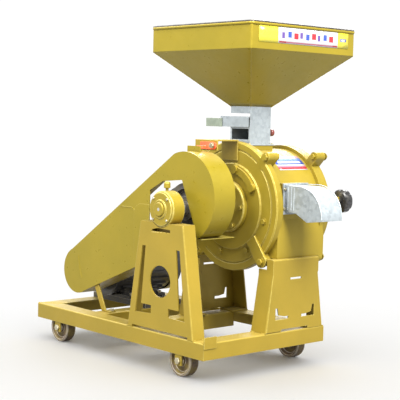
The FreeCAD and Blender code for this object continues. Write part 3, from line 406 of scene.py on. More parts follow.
class MILL_OT_finishes(Step, bpy.types.Operator):
    """Make every paint, metal and plastic of the mill"""
    bl_idname = "mill.finishes"
    bl_label = "Finishes"

    def build(self, context):
        colours = paint()
        make_enamel("yellow_frame_paint", 1.0, 0.07, 120)
        make_enamel("yellow_cast_paint", 0.98, 0.03, 110, pits=0.12, roughness=0.40)
        make_enamel("yellow_sheet_paint", 0.92, -0.01, 120, roughness=0.34)
        make_galvanised("galvanised", 1.0)
        # Lighter copy of the galvanised finish: a painted highlight for the chute's hems and fold beads.
        make_galvanised("zinc_highlight", 1.45)
        make_steel("bright_steel", (0.62, 0.61, 0.58), 0.26, 900)
        make_steel("zinc_fasteners", (0.56, 0.52, 0.38), 0.36, 600)
        make_iron("dark_iron", (0.06, 0.057, 0.055), 0.25)
        make_iron("wheel_iron", tuple(colours.iron), 0.55)
        make_plain_coat("rim_black", (0.022, 0.018, 0.012), 0.42, 0.2, 300, 0.5)
        make_plain_coat("grey_green_paint", (0.20, 0.24, 0.19), 0.45, 0.1, 300, 0.5)
        make_plain_coat("motor_black", tuple(colours.motor), 0.38, 0.35, 260, 0.35)
        make_plain_coat("black_plastic", (0.008, 0.008, 0.009), 0.30, 0.4, 500, 0.10)
        make_plain_coat("red_paint", tuple(colours.latch), 0.33, 0.4, 300, 0.6)
        make_plain_coat("red_brown_plastic", (0.14, 0.02, 0.015), 0.34, 0.35, 420, 0.2)
        make_rubber("belt_rubber")
        make_label("strip_label", [(0.0, YELLOW)], strip_marks(), 0.22)
        make_label("drum_label", [
            (0.0, WHITE), (0.05, RED), (0.17, PINK), (0.26, WHITE), (0.34, BLUE), (0.62, PALE_BLUE),
            (0.72, BLUE), (0.78, WHITE), (0.86, PINK), (0.93, WHITE)],
            [(0.10, 0.90, 0.44, 0.56, WHITE)], 0.08)
        make_label("motor_plate", [(0.0, (0.45, 0.45, 0.43))], [
            (0.08, 0.92, 0.10 + 0.17 * row, 0.14 + 0.17 * row, (0.10, 0.10, 0.10))
            for row in range(5)], 0.35)


# ---------------------------------------------------------------- mesh work
def settle(piece, finish, body, *nodes, slot=None):
    """Give a piece its finish and its body, and hide the nodes it stands for."""
    piece.data.materials.clear()
    piece.data.materials.append(finishes[finish])
    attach(piece, body)
    if nodes:
        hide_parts(*nodes)
    return piece


def finished_object(name, shape, smooth=40):
    """Object from a bmesh, smooth but for its sharp edges."""
    bmesh.ops.recalc_face_normals(shape, faces=shape.faces)
    for face in shape.faces:
        face.smooth = True
    for edge in shape.edges:
        edge.smooth = not (edge.is_manifold and edge.calc_face_angle(0) > math.radians(smooth))
    mesh = bpy.data.meshes.new(name)
    shape.to_mesh(mesh)
    shape.free()
    piece = bpy.data.objects.new(name, mesh)
    bpy.context.scene.collection.objects.link(piece)
    return piece


def flat_normals(piece):
    """Keep wide flats flat beside their rounded edges."""
    weighted = piece.modifiers.new("flats", "WEIGHTED_NORMAL")
    weighted.keep_sharp = True
    weighted.weight = 90
    return piece


def is_fold(edge, radius):
    """True for a long outer corner between two wide faces of folded plate."""
    if not edge.is_manifold or edge.calc_length() < SHORTEST_FOLD:
        return False
    if not FOLD_ANGLES[0] < math.degrees(edge.calc_face_angle_signed(0)) < FOLD_ANGLES[1]:
        return False
    return min(face.calc_area() for face in edge.link_faces) > 3 * radius * edge.calc_length()


def rounded(shape, edges, width, steps, mark):
    """Round some edges, and mark the new faces."""
    if not edges:
        return
    made = bmesh.ops.bevel(shape, geom=edges, offset=width, offset_type="OFFSET", segments=steps,
                           profile=0.5, affect="EDGES", clamp_overlap=True)
    for face in made["faces"]:
        face[mark] = 1.0


def softened(node, name, width=None, fold=0.0, steps=2):
    """A node's own shape with its flats joined up, its folds curved and its edges rounded."""
    shape = bmesh.new()
    shape.from_mesh(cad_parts[node].data)
    bmesh.ops.remove_doubles(shape, verts=shape.verts, dist=0.01 * MM)
    bmesh.ops.dissolve_limit(
        shape, angle_limit=math.radians(FLAT_ANGLE), verts=shape.verts, edges=shape.edges)
    mark = shape.faces.layers.float.new("edge")
    if fold:
        folds = [edge for edge in shape.edges if is_fold(edge, fold)]
        rounded(shape, folds, fold, 5, mark)
        for face in shape.faces:
            face[mark] = 0.25 * face[mark]
    sharp = [edge for edge in shape.edges
             if edge.is_manifold and edge.calc_face_angle(0) > math.radians(SHARP_ANGLE)]
    rounded(shape, sharp, width or sizes().edge, steps, mark)
    return flat_normals(finished_object(name, shape))


def dress(node, name, finish, width=None, body="base", fold=0.0, steps=2, slot=None):
    """Finish a node's own softened shape, and let it stand for the node."""
    return settle(softened(node, name, width, fold, steps), finish, body, node, slot=slot)


def bridge(shape, rings):
    """Faces between each ring of points and the next one."""
    for first, second in zip(rings, rings[1:]):
        for step in range(len(first)):
            after = (step + 1) % len(first)
            shape.faces.new((first[step], first[after], second[after], second[step]))


def tube(name, points, radius, sides=8, closed=False, ripple=0.0):
    """Round bar along points; a ripple makes it a weld bead."""
    shape = bmesh.new()
    count = len(points)
    rings = []
    for index, point in enumerate(points):
        before = points[index - 1] if index or closed else point
        after = points[(index + 1) % count] if index < count - 1 or closed else point
        along = (after - before).normalized()
        side = along.cross(Vector((0.31, 0.52, 0.79))).normalized()
        up = along.cross(side)
        size = radius * (1 + ripple * math.sin(index * 1.7) + ripple * 0.5 * math.sin(index * 0.61))
        rings.append([shape.verts.new(point + size * (side * math.cos(turn) + up * math.sin(turn)))
                      for turn in (2 * math.pi * step / sides for step in range(sides))])
    bridge(shape, rings + rings[:1] if closed else rings)
    if not closed:
        shape.faces.new(rings[0])
        shape.faces.new(rings[-1])
    return finished_object(name, shape, 60)


def spread(corners, pitch):
    """Points every pitch along straight runs between corners."""
    points = []
    for start, end in zip(corners, corners[1:]):
        count = max(1, round((end - start).length / pitch))
        points += [start.lerp(end, step / count) for step in range(count)]
    return points + [corners[-1]]


def weld(name, corners, finish, size=1.0):
    """Weld bead along a joint, with its ripples."""
    points = spread([Vector(corner) for corner in corners], 3 * MM)
    settle(tube(name, points, sizes().weld * size, 6, ripple=0.16), finish, "base")


def ring_points(centre, radius, along, count):
    """Points on a circle about the Y direction."""
    return [around(360.0 * index / count, radius, along, centre) for index in range(count)]


def lathe(name, profile, at, sides=48):
    """Turned piece; the profile gives (radius, distance) pairs along the Y direction."""
    shape = bmesh.new()
    to_axis = Matrix.Rotation(math.radians(-90), 3, "X")
    rings = []
    for radius, distance in profile:
        ring = []
        for step in range(sides if radius > 0 else 1):
            turn = 2 * math.pi * step / sides
            local = Vector((radius * math.cos(turn), radius * math.sin(turn), distance))
            ring.append(shape.verts.new(to_axis @ local + Vector(at)))
        rings.append(ring)
    for first, second in zip(rings, rings[1:]):
        for step in range(sides):
            after = (step + 1) % sides
            corners = [first[step % len(first)], first[after % len(first)],
                       second[after % len(second)], second[step % len(second)]]
            shape.faces.new(list(dict.fromkeys(corners)))
    mark = shape.faces.layers.float.new("edge")
    for face in shape.faces:
        face[mark] = 0.0
    return finished_object(name, shape, 35)


def plate(name, outline, normal, thickness, width=None):
    """Flat plate from an outline, with rounded edges."""
    shape = bmesh.new()
    face = shape.faces.new([shape.verts.new(Vector(corner)) for corner in outline])
    made = bmesh.ops.extrude_face_region(shape, geom=[face])
    moved = [item for item in made["geom"] if isinstance(item, bmesh.types.BMVert)]
    bmesh.ops.translate(shape, verts=moved, vec=Vector(normal) * thickness)
    mark = shape.faces.layers.float.new("edge")
    rounded(shape, list(shape.edges), width or thickness * 0.25, 2, mark)
    return flat_normals(finished_object(name, shape))


def hex_bolt(name, at, axis, radius, height):
    """Bolt head with its chamfer and a round washer under it; it points along the axis."""
    shape = bmesh.new()
    turn = Vector((0, 0, 1)).rotation_difference(Vector(axis)).to_matrix()
    washer = 0.25 * height
    rims = {24: ((1.25 * radius, 0.0), (1.25 * radius, washer)),
            6: ((0.92 * radius, washer), (radius, washer + 0.06 * height),
                (radius, 0.86 * height), (0.86 * radius, height))}
    for sides, levels in rims.items():
        stack = []
        for reach, lift in levels:
            turns = [2 * math.pi * step / sides for step in range(sides)]
            stack.append([shape.verts.new(
                turn @ Vector((reach * math.cos(angle), reach * math.sin(angle), lift)) + Vector(at))
                for angle in turns])
        bridge(shape, stack)
        shape.faces.new(stack[0])
        shape.faces.new(stack[-1])
    shape.faces.layers.float.new("edge")
    return finished_object(name, shape, 25)


def printed(name, rows, finish, slot):
    """Label laid over a grid of points, charted from corner to corner."""
    shape = bmesh.new()
    chart = shape.loops.layers.uv.new("label")
    grid = [[shape.verts.new(point) for point in row] for row in rows]
    tall, wide = len(grid) - 1, len(grid[0]) - 1
    for up in range(tall):
        for across in range(wide):
            corners = ((up, across), (up, across + 1), (up + 1, across + 1), (up + 1, across))
            face = shape.faces.new([grid[row][column] for row, column in corners])
            for loop, (row, column) in zip(face.loops, corners):
                loop[chart].uv = (column / wide, row / tall)
    piece = finished_object(name, shape)
    skin = piece.modifiers.new("vinyl", "SOLIDIFY")
    skin.thickness = 0.4 * MM
    skin.offset = 0
    return settle(piece, finish, "base", slot=slot)


# ---------------------------------------------------------------- base and stands
def stand_welds(name, node, sides):
    """Welds along the foot of a stand."""
    start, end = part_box(node)
    floor = high("front_rail").z
    corners = {"front": [(start.x, start.y, floor), (end.x, start.y, floor)],
               "right": [(end.x, start.y, floor), (end.x, end.y, floor)],
               "left": [(start.x, end.y, floor), (start.x, start.y, floor)],
               "back": [(end.x, end.y, floor), (start.x, end.y, floor)]}
    for side in sides:
        first, last = (Vector(corner) for corner in corners[side])
        weld(f"{name}_{side}_start", [first, first.lerp(last, 0.28)], "yellow_frame_paint")
        weld(f"{name}_{side}_end", [first.lerp(last, 0.72), last], "yellow_frame_paint")


class MILL_OT_base(Step, bpy.types.Operator):
    """Build the rails, cross members, forks and axles of the base"""
    bl_idname = "mill.base"
    bl_label = "Base frame"

    def build(self, context):
        for node in ("front_rail", "right_rail", "back_rail", "left_rail", "chamber_cross_member",
                     "motor_cross_member"):
            dress(node, f"{node}_shape", "yellow_frame_paint", 1.2 * MM, fold=5 * MM)
        dress("wheel_forks", "fork_plates", "yellow_frame_paint")
        dress("wheel_axles", "axle_bolts", "zinc_fasteners", 1 * MM)
        rail = high("right_rail")
        near = low("right_rail").y
        start, end, floor, top = near + 1 * MM, near + 63 * MM, 132 * MM, 177 * MM
        corner_plate = plate("corner_plate", [
            (rail.x, start, floor), (rail.x, end, floor), (rail.x, end, top), (rail.x, start, top)],
            (1, 0, 0), 4 * MM)
        settle(corner_plate, "yellow_frame_paint", "base")
        leg = 78 * MM
        for end_x, lean_x in ((low("front_rail").x, 1), (high("front_rail").x, -1)):
            for end_y, lean_y, side in ((low("left_rail").y, 1, "front"),
                                        (high("left_rail").y, -1, "back")):
                top = high("front_rail").z
                corner = Vector((end_x + lean_x * 2 * MM, end_y + lean_y * 2 * MM, top))
                inner = corner + Vector((lean_x * leg, lean_y * leg, 0))
                weld(f"mitre_weld_{side}_{'left' if lean_x > 0 else 'right'}", [corner, inner],
                     "yellow_frame_paint", size=0.6)


class MILL_OT_wheels(Step, bpy.types.Operator):
    """Build the four cast wheels"""
    bl_idname = "mill.wheels"
    bl_label = "Wheels"

    def build(self, context):
        for end in ("front", "back"):
            for side in ("left", "right"):
                node = f"wheel_{end}_{side}"
                dress(node, f"{node}_casting", "wheel_iron", 2 * MM, f"{node}_body", steps=3)


class MILL_OT_stands(Step, bpy.types.Operator):
    """Build the bearing pedestal and the two chamber pedestals, welded to the rails"""
    bl_idname = "mill.stands"
    bl_label = "Stands"

    def build(self, context):
        for node in ("bearing_pedestal", "chamber_pedestal_right", "chamber_pedestal_left"):
            dress(node, f"{node}_shape", "yellow_frame_paint", 1.2 * MM, fold=sizes().fold)
        stand_welds("pedestal_weld", "bearing_pedestal", ("right", "left"))
        stand_welds("right_pier_weld", "chamber_pedestal_right", ("front", "back"))
        stand_welds("left_pier_weld", "chamber_pedestal_left", ("front", "back"))


# ---------------------------------------------------------------- chamber and shaft
class MILL_OT_bearing(Step, bpy.types.Operator):
    """Build the outboard bearing, its cap and grease cup, and the shaft"""
    bl_idname = "mill.bearing"
    bl_label = "Outboard bearing and shaft"

    def build(self, context):
        dress("bearing_block", "bearing_casting", "yellow_cast_paint", 2.5 * MM, steps=3)
        dress("bearing_cap", "bearing_cap_turning", "yellow_cast_paint", 1.5 * MM)
        dress("grease_cup", "grease_cup_turning", "yellow_cast_paint", 1 * MM, slot="zinc_fasteners")
        dress("shaft_bearings", "bearing_rings", "bright_steel", 1 * MM)
        dress("main_shaft", "main_shaft_turning", "bright_steel", 1 * MM, body="rotor")
        tip = (SHAFT.x, low("main_shaft").y, SHAFT.z)
        skin = lathe("shaft_end_coat", [
            (27.9 * MM, 9 * MM), (27.9 * MM, 3 * MM), (24.8 * MM, -0.3 * MM), (7 * MM, -0.3 * MM),
            (3 * MM, 5 * MM), (0, 6 * MM)], tip)
        settle(skin, "yellow_cast_paint", "rotor")


def make_lug_strap():
    """Flat strap over the lower right lug, with its own bolt."""
    face = low("chamber_body").y - 30 * MM
    thick, half_width, nose, nose_steps = 12 * MM, 27 * MM, 24 * MM, 8
    upper = Vector((335 * MM, face, 517 * MM))
    lug = around(STRAP_LUG_ANGLE, LUG_REACH, face)
    along = (lug - upper).normalized()
    side = Vector((-along.z, 0, along.x)) * half_width
    outline = [upper + side, upper - side]
    for step in range(nose_steps + 1):
        turn = math.pi * step / nose_steps
        outline.append(lug - side * math.cos(turn) + along * nose * math.sin(turn))
    settle(plate("lug_strap", outline, (0, -1, 0), thick, 2 * MM), "yellow_cast_paint", "base")
    bolt = hex_bolt("lug_strap_bolt", lug + Vector((0, -thick, 0)), (0, -1, 0), 14 * MM, 12 * MM)
    settle(bolt, "yellow_cast_paint", "base", slot="zinc_fasteners")


class MILL_OT_chamber(Step, bpy.types.Operator):
    """Build the grinding chamber, its front plate, hub, clamp bar and door"""
    bl_idname = "mill.chamber"
    bl_label = "Grinding chamber"

    def build(self, context):
        for node, width in (("chamber_body", 2), ("front_plate", 2), ("bearing_housing", 2),
                            ("clamp_bar", 2.5)):
            dress(node, f"{node}_casting", "yellow_cast_paint", width * MM, steps=3)
        dress("back_door", "back_door_casting", "yellow_cast_paint", 2 * MM, steps=3, body="door")
        dress("door_hinge_pin", "hinge_pin_turning", "bright_steel", 1 * MM)
        dress("door_knob", "door_knob_moulding", "black_plastic", 2.5 * MM, steps=3, body="hand_screw")
        for place in (low("chamber_body").y + 22 * MM, high("chamber_body").y - 22 * MM):
            points = ring_points(SHAFT, DRUM_RADIUS + 1 * MM, place, 480)
            side = "front" if place < middle("chamber_body").y else "back"
            bead = tube(f"flange_weld_{side}", points, 3.4 * MM, 6, True, 0.14)
            settle(bead, "yellow_cast_paint", "base")
        make_lug_strap()


class MILL_OT_rotor(Step, bpy.types.Operator):
    """Finish the rotor, its pins and hammers, and the sieve around them"""
    bl_idname = "mill.rotor"
    bl_label = "Rotor and sieve"

    def build(self, context):
        dress("rotor_discs", "rotor_disc_set", "dark_iron", 1 * MM, body="rotor")
        dress("hammer_pins", "hammer_pin_set", "bright_steel", 0.6 * MM, body="rotor")
        for number in range(1, 5):
            row = f"hammer_row_{number}"
            dress(f"hammers_{number}", f"{row}_blades", "dark_iron", 0.8 * MM, row)
        dress("sieve", "sieve_screen", "bright_steel", 0.5 * MM)


# ---------------------------------------------------------------- feed and outlet
def square_ring(shape, centre, height, half, corner, per_side, wave):
    """Ring of points around a square with rounded corners; the wave moves the panels' middles."""
    ring = []
    for side in range(4):
        outward = Vector((math.cos(side * math.pi / 2), math.sin(side * math.pi / 2), 0))
        along = Vector((-outward.y, outward.x, 0))
        for step in range(per_side):
            share = step / (per_side - 1)
            point = centre + outward * half + along * (2 * share - 1) * (half - corner)
            lift = wave * noise.noise(Vector((side * 7.3 + share * 2.2, height * 9, side)))
            lift *= math.sin(math.pi * share)
            ring.append(shape.verts.new(Vector((point.x, point.y, height)) + outward * lift))
        for step in (1, 2, 3):
            turn = math.pi / 2 * (side + step / 4)
            pivot = centre + (outward + along) * (half - corner)
            arc = Vector((math.cos(turn), math.sin(turn), 0)) * corner
            ring.append(shape.verts.new(Vector((pivot.x, pivot.y, height)) + arc))
    return ring


def make_hopper():
    """Hopper of folded sheet: a flared cone under an upright band, slightly wavy between its corners."""
    start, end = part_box("hopper")
    centre = Vector((middle("hopper").x, middle("hopper").y, 0))
    half = (end.x - start.x) / 2
    foot = high("throat").z
    band = low("hopper_rim").z - 92 * MM
    neck, sheet, corner = 59 * MM, 2.5 * MM, 7 * MM
    shape = bmesh.new()
    rings = []
    cone_steps, band_steps, per_side = 16, 6, 20
    for step in range(cone_steps + 1):
        share = step / cone_steps
        wave = sizes().wave * math.sin(math.pi * share)
        rings.append(square_ring(
            shape, centre, foot + share * (band - foot), neck + share * (half - neck),
            3 * MM + share * 4 * MM, per_side, wave))
    for step in range(1, band_steps + 1):
        share = step / band_steps
        wave = sizes().wave * 0.6 * math.sin(math.pi * share)
        rings.append(square_ring(
            shape, centre, band + share * (end.z - band), half, corner, per_side, wave))
    bridge(shape, rings)
    piece = finished_object("hopper_sheet", shape, 24)
    wall = piece.modifiers.new("sheet", "SOLIDIFY")
    wall.thickness = sheet
    wall.offset = -1
    settle(piece, "yellow_sheet_paint", "base", "hopper")
    for number, (across, along) in enumerate(((1, 1), (1, -1), (-1, -1), (-1, 1)), start=1):
        out = half - 2 * MM
        bottom = Vector((centre.x + across * (neck - 1 * MM), centre.y + along * (neck - 1 * MM), foot))
        top = Vector((centre.x + across * out, centre.y + along * out, band))
        weld(f"hopper_corner_weld_{number}", [bottom, top], "yellow_sheet_paint", size=0.7)


def square_path(centre, half, corner, height):
    """Points around a square with rounded corners."""
    points = []
    for side in range(4):
        facing = side * math.pi / 2
        outward = Vector((math.cos(facing), math.sin(facing), 0))
        along = Vector((-outward.y, outward.x, 0))
        pivot = centre + (outward + along) * (half - corner)
        for step in range(6):
            turn = facing + math.pi / 2 * step / 5
            arc = Vector((math.cos(turn), math.sin(turn), 0)) * corner
            points.append(Vector((pivot.x, pivot.y, height)) + arc)
    return points


def make_rim():
    """Rolled lip of the hopper, painted, with a thin black bead along its top."""
    start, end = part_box("hopper_rim")
    centre = Vector((middle("hopper_rim").x, middle("hopper_rim").y, 0))
    roll = 6 * MM
    bead = 4.5 * MM
    half = (end.x - start.x) / 2 - roll
    corner = 14 * MM
    path = square_path(centre, half, corner, end.z - roll - 5 * MM)
    lip = tube("hopper_rolled_lip", path, roll, 12, True)
    settle(lip, "yellow_sheet_paint", "base")
    top = tube("hopper_rim_bead", square_path(centre, half, corner, end.z - bead), bead, 10, True)
    settle(top, "rim_black", "base", "hopper_rim")


class MILL_OT_feed(Step, bpy.types.Operator):
    """Build the hopper, its rim, the throat, the slide gate and the hand screw"""
    bl_idname = "mill.feed"
    bl_label = "Hopper and throat"

    def build(self, context):
        make_hopper()
        make_rim()
        dress("throat", "throat_sheet", "galvanised", 0.8 * MM)
        dress("slide_gate", "slide_gate_sheet", "galvanised", 0.8 * MM, body="gate")
        dress("gate_handle", "gate_handle_plate", "grey_green_paint", 1 * MM, body="gate")
        dress("throat_knob", "throat_knob_moulding", "red_brown_plastic", 1.5 * MM, "throat_screw",
              steps=3)


class MILL_OT_outlet(Step, bpy.types.Operator):
    """Build the galvanised outlet chute"""
    bl_idname = "mill.outlet"
    bl_label = "Outlet chute"

    def build(self, context):
        dress("outlet_chute", "outlet_sheet", "galvanised", 0.9 * MM)
        start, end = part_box("outlet_chute")
        bend, half_width = 128 * MM, 59 * MM
        roof = end.z - 6 * MM
        walls = (middle("outlet_chute").y - half_width, middle("outlet_chute").y + half_width)
        pivot = Vector((end.x - bend, 0, roof - bend + 4 * MM))
        for name, place in zip(("near", "far"), walls):
            # The hems and fold beads take the lighter zinc copy, a painted highlight along the chute's
            # edges and folds.
            hem = [Vector((start.x + 8 * MM, place, roof))] + [
                around(90 - 90 * step / 16, bend - 2 * MM, place, pivot) for step in range(17)]
            settle(tube(f"chute_hem_{name}", spread(hem, 8 * MM), 1.8 * MM, 8), "zinc_highlight", "base",
                   slot="galvanised")
            for reach in (20, 38, 52):
                fold = [Vector((start.x + reach * MM, place, start.z + 42 * MM)),
                        Vector((start.x + reach * MM, place, roof - 6 * MM))]
                bead = tube(f"chute_fold_{name}_{reach}", fold, 1.5 * MM, 8)
                settle(bead, "zinc_highlight", "base", slot="galvanised")


# ---------------------------------------------------------------- motor and drive
def make_grille():
    """Wire grille over the fan cover's opening, and its ribs."""
    hub = Vector((middle("fan_cover").x, 0, middle("fan_cover").z))
    back = high("fan_cover").y
    for radius in (25, 42, 59, 76, 93):
        points = ring_points(hub, radius * MM, back + 0.5 * MM, 64)
        settle(tube(f"fan_grille_ring_{radius}", points, 1.8 * MM, 6, True), "motor_black", "base")
    for step in range(8):
        run = [around(45 * step, reach * MM, back + 0.8 * MM, hub) for reach in (18, 60, 104)]
        settle(tube(f"fan_grille_rib_{step}", run, 2 * MM, 6), "motor_black", "base")


def make_name_plate():
    """Blank data plate on the motor's side, with plain bars in place of print."""
    at = middle("motor_frame")
    reach = 127 * MM
    axis = Vector((at.x, 0, at.z))
    steps = 6
    grid = [[around(150 + 26 * up / steps, reach, 10 * MM + 90 * MM * across / steps, axis)
             for across in range(steps + 1)] for up in range(steps + 1)]
    printed("motor_data_plate", grid, "motor_plate", "motor_black")


class MILL_OT_motor(Step, bpy.types.Operator):
    """Build the motor, its covers, fan, terminal box and slide rails"""
    bl_idname = "mill.motor"
    bl_label = "Motor"

    def build(self, context):
        for node in ("motor_frame", "motor_end_cover", "fan_cover", "terminal_box"):
            dress(node, f"{node}_casting", "motor_black", 1 * MM)
        dress("cable_gland", "cable_gland_turning", "black_plastic", 0.8 * MM)
        dress("motor_fan", "motor_fan_moulding", "black_plastic", 0.8 * MM, body="motor_rotor")
        dress("motor_shaft", "motor_shaft_turning", "bright_steel", 1 * MM, body="motor_rotor")
        dress("slide_rails", "slide_rail_bars", "dark_iron", 1.2 * MM)
        make_grille()
        make_name_plate()


class MILL_OT_drive(Step, bpy.types.Operator):
    """Build the pulleys and the belts"""
    bl_idname = "mill.drive"
    bl_label = "Belt drive"

    def build(self, context):
        dress("driven_pulley", "driven_pulley_casting", "dark_iron", 1 * MM, body="rotor")
        dress("motor_pulley", "motor_pulley_casting", "dark_iron", 1 * MM, body="motor_rotor")
        dress("v_belts", "belt_set", "belt_rubber", 1.5 * MM)


SEAMS = {
    "guard_panel_seam": [(-185, 619), (-123, 620), (-104, 619), (-93, 613), (-87, 603), (-85, 590),
                         (-79, 494)],
    "guard_end_crease": [(-482, 379), (-478, 352), (-471, 322), (-456, 280)],
}


def make_seams():
    """Pressed seams on the guard's face, given across and up in millimetres."""
    face = low("guard_cover").y
    for name, corners in SEAMS.items():
        points = spread([Vector((across * MM, face, up * MM)) for across, up in corners], 6 * MM)
        settle(tube(name, points, 1.8 * MM, 8), "yellow_sheet_paint", "base")


class MILL_OT_guard(Step, bpy.types.Operator):
    """Build the drive guard, its panel, hanger, latch and strut"""
    bl_idname = "mill.guard"
    bl_label = "Drive guard"

    def build(self, context):
        dress("guard_cover", "guard_sheet", "yellow_sheet_paint", 1.2 * MM, fold=5 * MM)
        dress("guard_panel", "guard_front_panel", "yellow_sheet_paint", 0.9 * MM)
        dress("guard_base_plate", "guard_closing_plate", "yellow_sheet_paint", 0.9 * MM)
        dress("guard_bracket", "guard_hanger", "yellow_frame_paint", 1.2 * MM)
        dress("guard_strut", "guard_strut_bar", "yellow_frame_paint", 1.2 * MM)
        dress("guard_latch", "latch_lever", "red_paint", 1.2 * MM, body="latch")
        make_seams()


def washers():
    """Washers under the bolt heads of the front plate and the hub."""
    plate_face = low("front_plate").y + 7 * MM
    hub_face = low("bearing_housing").y
    plate_circle, hub_circle = 199, 88
    spots = [(angle, plate_circle, plate_face, 15) for angle in (-106, -60, -14, 164, 210)]
    spots += [(angle, hub_circle, hub_face, 12.5) for angle in range(0, 360, 60)]
    spots += [(angle, LUG_REACH / MM, plate_face, 18) for angle in LUG_ANGLES[:3]]
    for number, (angle, reach, face, radius) in enumerate(spots, start=1):
        bore, outside, thick, chamfer = 9 * MM, radius * MM, 2 * MM, 0.5 * MM
        profile = [(bore, 0), (bore, -thick), (outside - chamfer, -thick),
                   (outside, chamfer - thick), (outside, 0)]
        ring = lathe(f"washer_{number}", profile, around(angle, reach * MM, face), sides=32)
        settle(ring, "yellow_cast_paint", "base", slot="zinc_fasteners")


def extra_bolts():
    """Bolt heads on the rear lugs, the throat's flange and the terminal box."""
    inner = 263 * MM
    outer = high("chamber_body").y + 13 * MM
    flange = low("throat").z + 6 * MM
    for angle in LUG_ANGLES:
        at = around(angle, LUG_REACH, inner)
        nut = hex_bolt(f"rear_lug_nut_{angle}", at, (0, -1, 0), 13 * MM, 11 * MM)
        settle(nut, "yellow_cast_paint", "base", slot="zinc_fasteners")
        at = around(angle, LUG_REACH, outer)
        head = hex_bolt(f"door_lug_bolt_{angle}", at, (0, 1, 0), 13 * MM, 11 * MM)
        settle(head, "yellow_cast_paint", "door", slot="zinc_fasteners")
    lid = high("terminal_box").z
    for name, node, half, height, radius, rise in (
            ("throat_bolt", "throat", 64, flange, 4.5, 4.5),
            ("box_screw", "terminal_box", 46, lid, 3.5, 3)):
        for across in (-half, half):
            for along in (-half, half):
                at = middle(node) + Vector((across * MM, along * MM, 0))
                bolt = hex_bolt(f"{name}_{across}_{along}", (at.x, at.y, height), (0, 0, 1),
                                radius * MM, rise * MM)
                settle(bolt, "zinc_fasteners", "base")


class MILL_OT_fasteners(Step, bpy.types.Operator):
    """Build the bolts and nuts with their washers"""
    bl_idname = "mill.fasteners"
    bl_label = "Fasteners"

    def build(self, context):
        washers()
        extra_bolts()
        dress("chamber_bolts", "chamber_bolt_set", "yellow_cast_paint", 1 * MM, slot="zinc_fasteners")
        dress("small_bolts", "small_bolt_set", "zinc_fasteners", 0.7 * MM)


class MILL_OT_labels(Step, bpy.types.Operator):
    """Stick the plain printed labels on the hopper and on the chamber"""
    bl_idname = "mill.labels"
    bl_label = "Labels"

    def build(self, context):
        wall = high("hopper").x + sizes().wave * 0.7
        left, right = low("hopper").y + 38 * MM, high("hopper").y - 40 * MM
        floor, top = low("hopper_rim").z - 66 * MM, low("hopper_rim").z - 4 * MM
        wide, tall = 12, 3
        rows = [[Vector((wall, left + (right - left) * across / wide, floor + (top - floor) * up / tall))
                 for across in range(wide + 1)] for up in range(tall + 1)]
        printed("hopper_strip_label", rows, "strip_label", "yellow_sheet_paint")
        wide, tall = 6, 10
        rows = [[around(41 + 21 * up / tall, DRUM_RADIUS + 0.6 * MM, 85 * MM + 165 * MM * across / wide)
                 for across in range(wide + 1)] for up in range(tall + 1)]
        printed("drum_side_label", rows, "drum_label", "yellow_cast_paint")


# ---------------------------------------------------------------- stage
def area_light(name, at, aim, size, power, tint=(1, 1, 1)):
    """Soft square light that looks at a point and leaves the floor to the sky."""
    lamp = bpy.data.lights.new(name, "AREA")
    lamp.size = size
    lamp.energy = power
    lamp.color = tint
    item = bpy.data.objects.new(name, lamp)
    item.location = at
    item.rotation_euler = (Vector(aim) - Vector(at)).to_track_quat("-Z", "Y").to_euler()
    bpy.context.scene.collection.objects.link(item)
    unlit = bpy.data.collections.new(f"{name}_unlit")
    unlit.objects.link(bpy.data.objects["studio_floor"])
    unlit.collection_objects[0].light_linking.link_state = "EXCLUDE"
    item.light_linking.receiver_collection = unlit


def make_floor():
    """Plain pale floor."""
    finish = Finish("studio_floor", roughness=0.7)
    finish.colour(finish.ramp(finish.noise(0.8, 3), (0.3, 0.97), (0.7, 0.985)))
    shape = bmesh.new()
    bmesh.ops.create_circle(shape, cap_ends=True, segments=96, radius=sizes().floor)
    floor = finished_object("studio_floor", shape)
    floor.data.materials.append(finish.material)


def make_camera():
    """Camera at a little under hopper height, on the chamber's side."""
    place = (3.5154, -3.1368, 1.005)
    turn, dip, tilt = (math.radians(angle) for angle in (48.28, 4.323, 1.403))
    forward = Vector((-math.sin(turn) * math.cos(dip), math.cos(turn) * math.cos(dip), -math.sin(dip)))
    level = Vector((math.cos(turn), math.sin(turn), 0))
    upright = level.cross(forward)
    right = level * math.cos(tilt) + upright * math.sin(tilt)
    up = upright * math.cos(tilt) - level * math.sin(tilt)
    lens = bpy.data.cameras.new("studio_camera")
    lens.lens = 99.95
    lens.sensor_width = 36
    lens.clip_end = 100
    camera = bpy.data.objects.new("studio_camera", lens)
    camera.matrix_world = Matrix.Translation(place) @ Matrix(
        (right, up, -forward)).transposed().to_4x4()
    bpy.context.scene.collection.objects.link(camera)
    bpy.context.scene.camera = camera


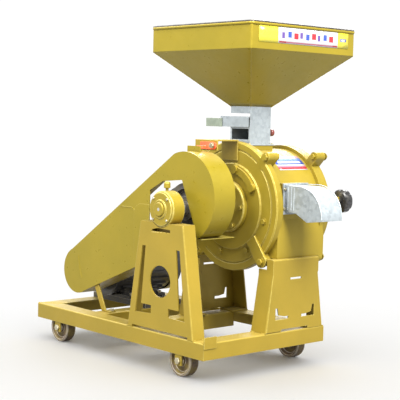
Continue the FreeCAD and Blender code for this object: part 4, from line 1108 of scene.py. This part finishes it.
class MILL_OT_stage(Step, bpy.types.Operator):
    """Set up the floor, the soft lights and the camera"""
    bl_idname = "mill.stage"
    bl_label = "Stage"

    def build(self, context):
        make_floor()
        make_camera()
        aim = (0.1, 0, 0.7)
        area_light("key_light", (3.5, -0.5, 4.3), aim, 2.0, 680, (1.0, 0.97, 0.90))
        area_light("front_light", (0.6, -3.4, 4.1), aim, 2.2, 400, (1.0, 0.98, 0.94))
        area_light("back_light", (-2.2, 3.0, 4.0), aim, 2.4, 200)
        area_light("left_light", (-3.4, -1.0, 3.8), aim, 2.4, 120)
        world = bpy.data.worlds.new("studio_world")
        world.use_nodes = True
        world.node_tree.nodes["Background"].inputs["Color"].default_value = (1, 1, 1, 1)
        world.node_tree.nodes["Background"].inputs["Strength"].default_value = 1.06
        context.scene.world = world
        context.scene.view_settings.view_transform = "Standard"


# ---------------------------------------------------------------- panel and run
OPERATORS = (
    MILL_OT_finishes, MILL_OT_base, MILL_OT_wheels, MILL_OT_stands, MILL_OT_bearing, MILL_OT_chamber,
    MILL_OT_rotor, MILL_OT_feed, MILL_OT_outlet, MILL_OT_motor, MILL_OT_drive, MILL_OT_guard,
    MILL_OT_fasteners, MILL_OT_labels, MILL_OT_stage)


class MILL_PT_pieces(bpy.types.Panel):
    """Buttons that build each group of pieces"""
    bl_label = "Hammer mill"
    bl_idname = "MILL_PT_pieces"
    bl_space_type = "VIEW_3D"
    bl_region_type = "UI"
    bl_category = "Hammer mill"

    def draw(self, context):
        for group in (context.scene.mill_paint, context.scene.mill_sizes):
            for name in group.__annotations__:
                self.layout.prop(group, name)
        for operator in OPERATORS:
            self.layout.operator(operator.bl_idname)


CLASSES = (MillPaint, MillSizes, *OPERATORS, MILL_PT_pieces)


def register():
    for item in CLASSES:
        bpy.utils.register_class(item)
    bpy.types.Scene.mill_paint = bpy.props.PointerProperty(type=MillPaint)
    bpy.types.Scene.mill_sizes = bpy.props.PointerProperty(type=MillSizes)


def unregister():
    del bpy.types.Scene.mill_sizes
    del bpy.types.Scene.mill_paint
    for item in reversed(CLASSES):
        bpy.utils.unregister_class(item)


def main():
    register()
    for operator in OPERATORS:
        group, name = operator.bl_idname.split(".")
        getattr(getattr(bpy.ops, group), name)()


if __name__ == "__main__":
    main()
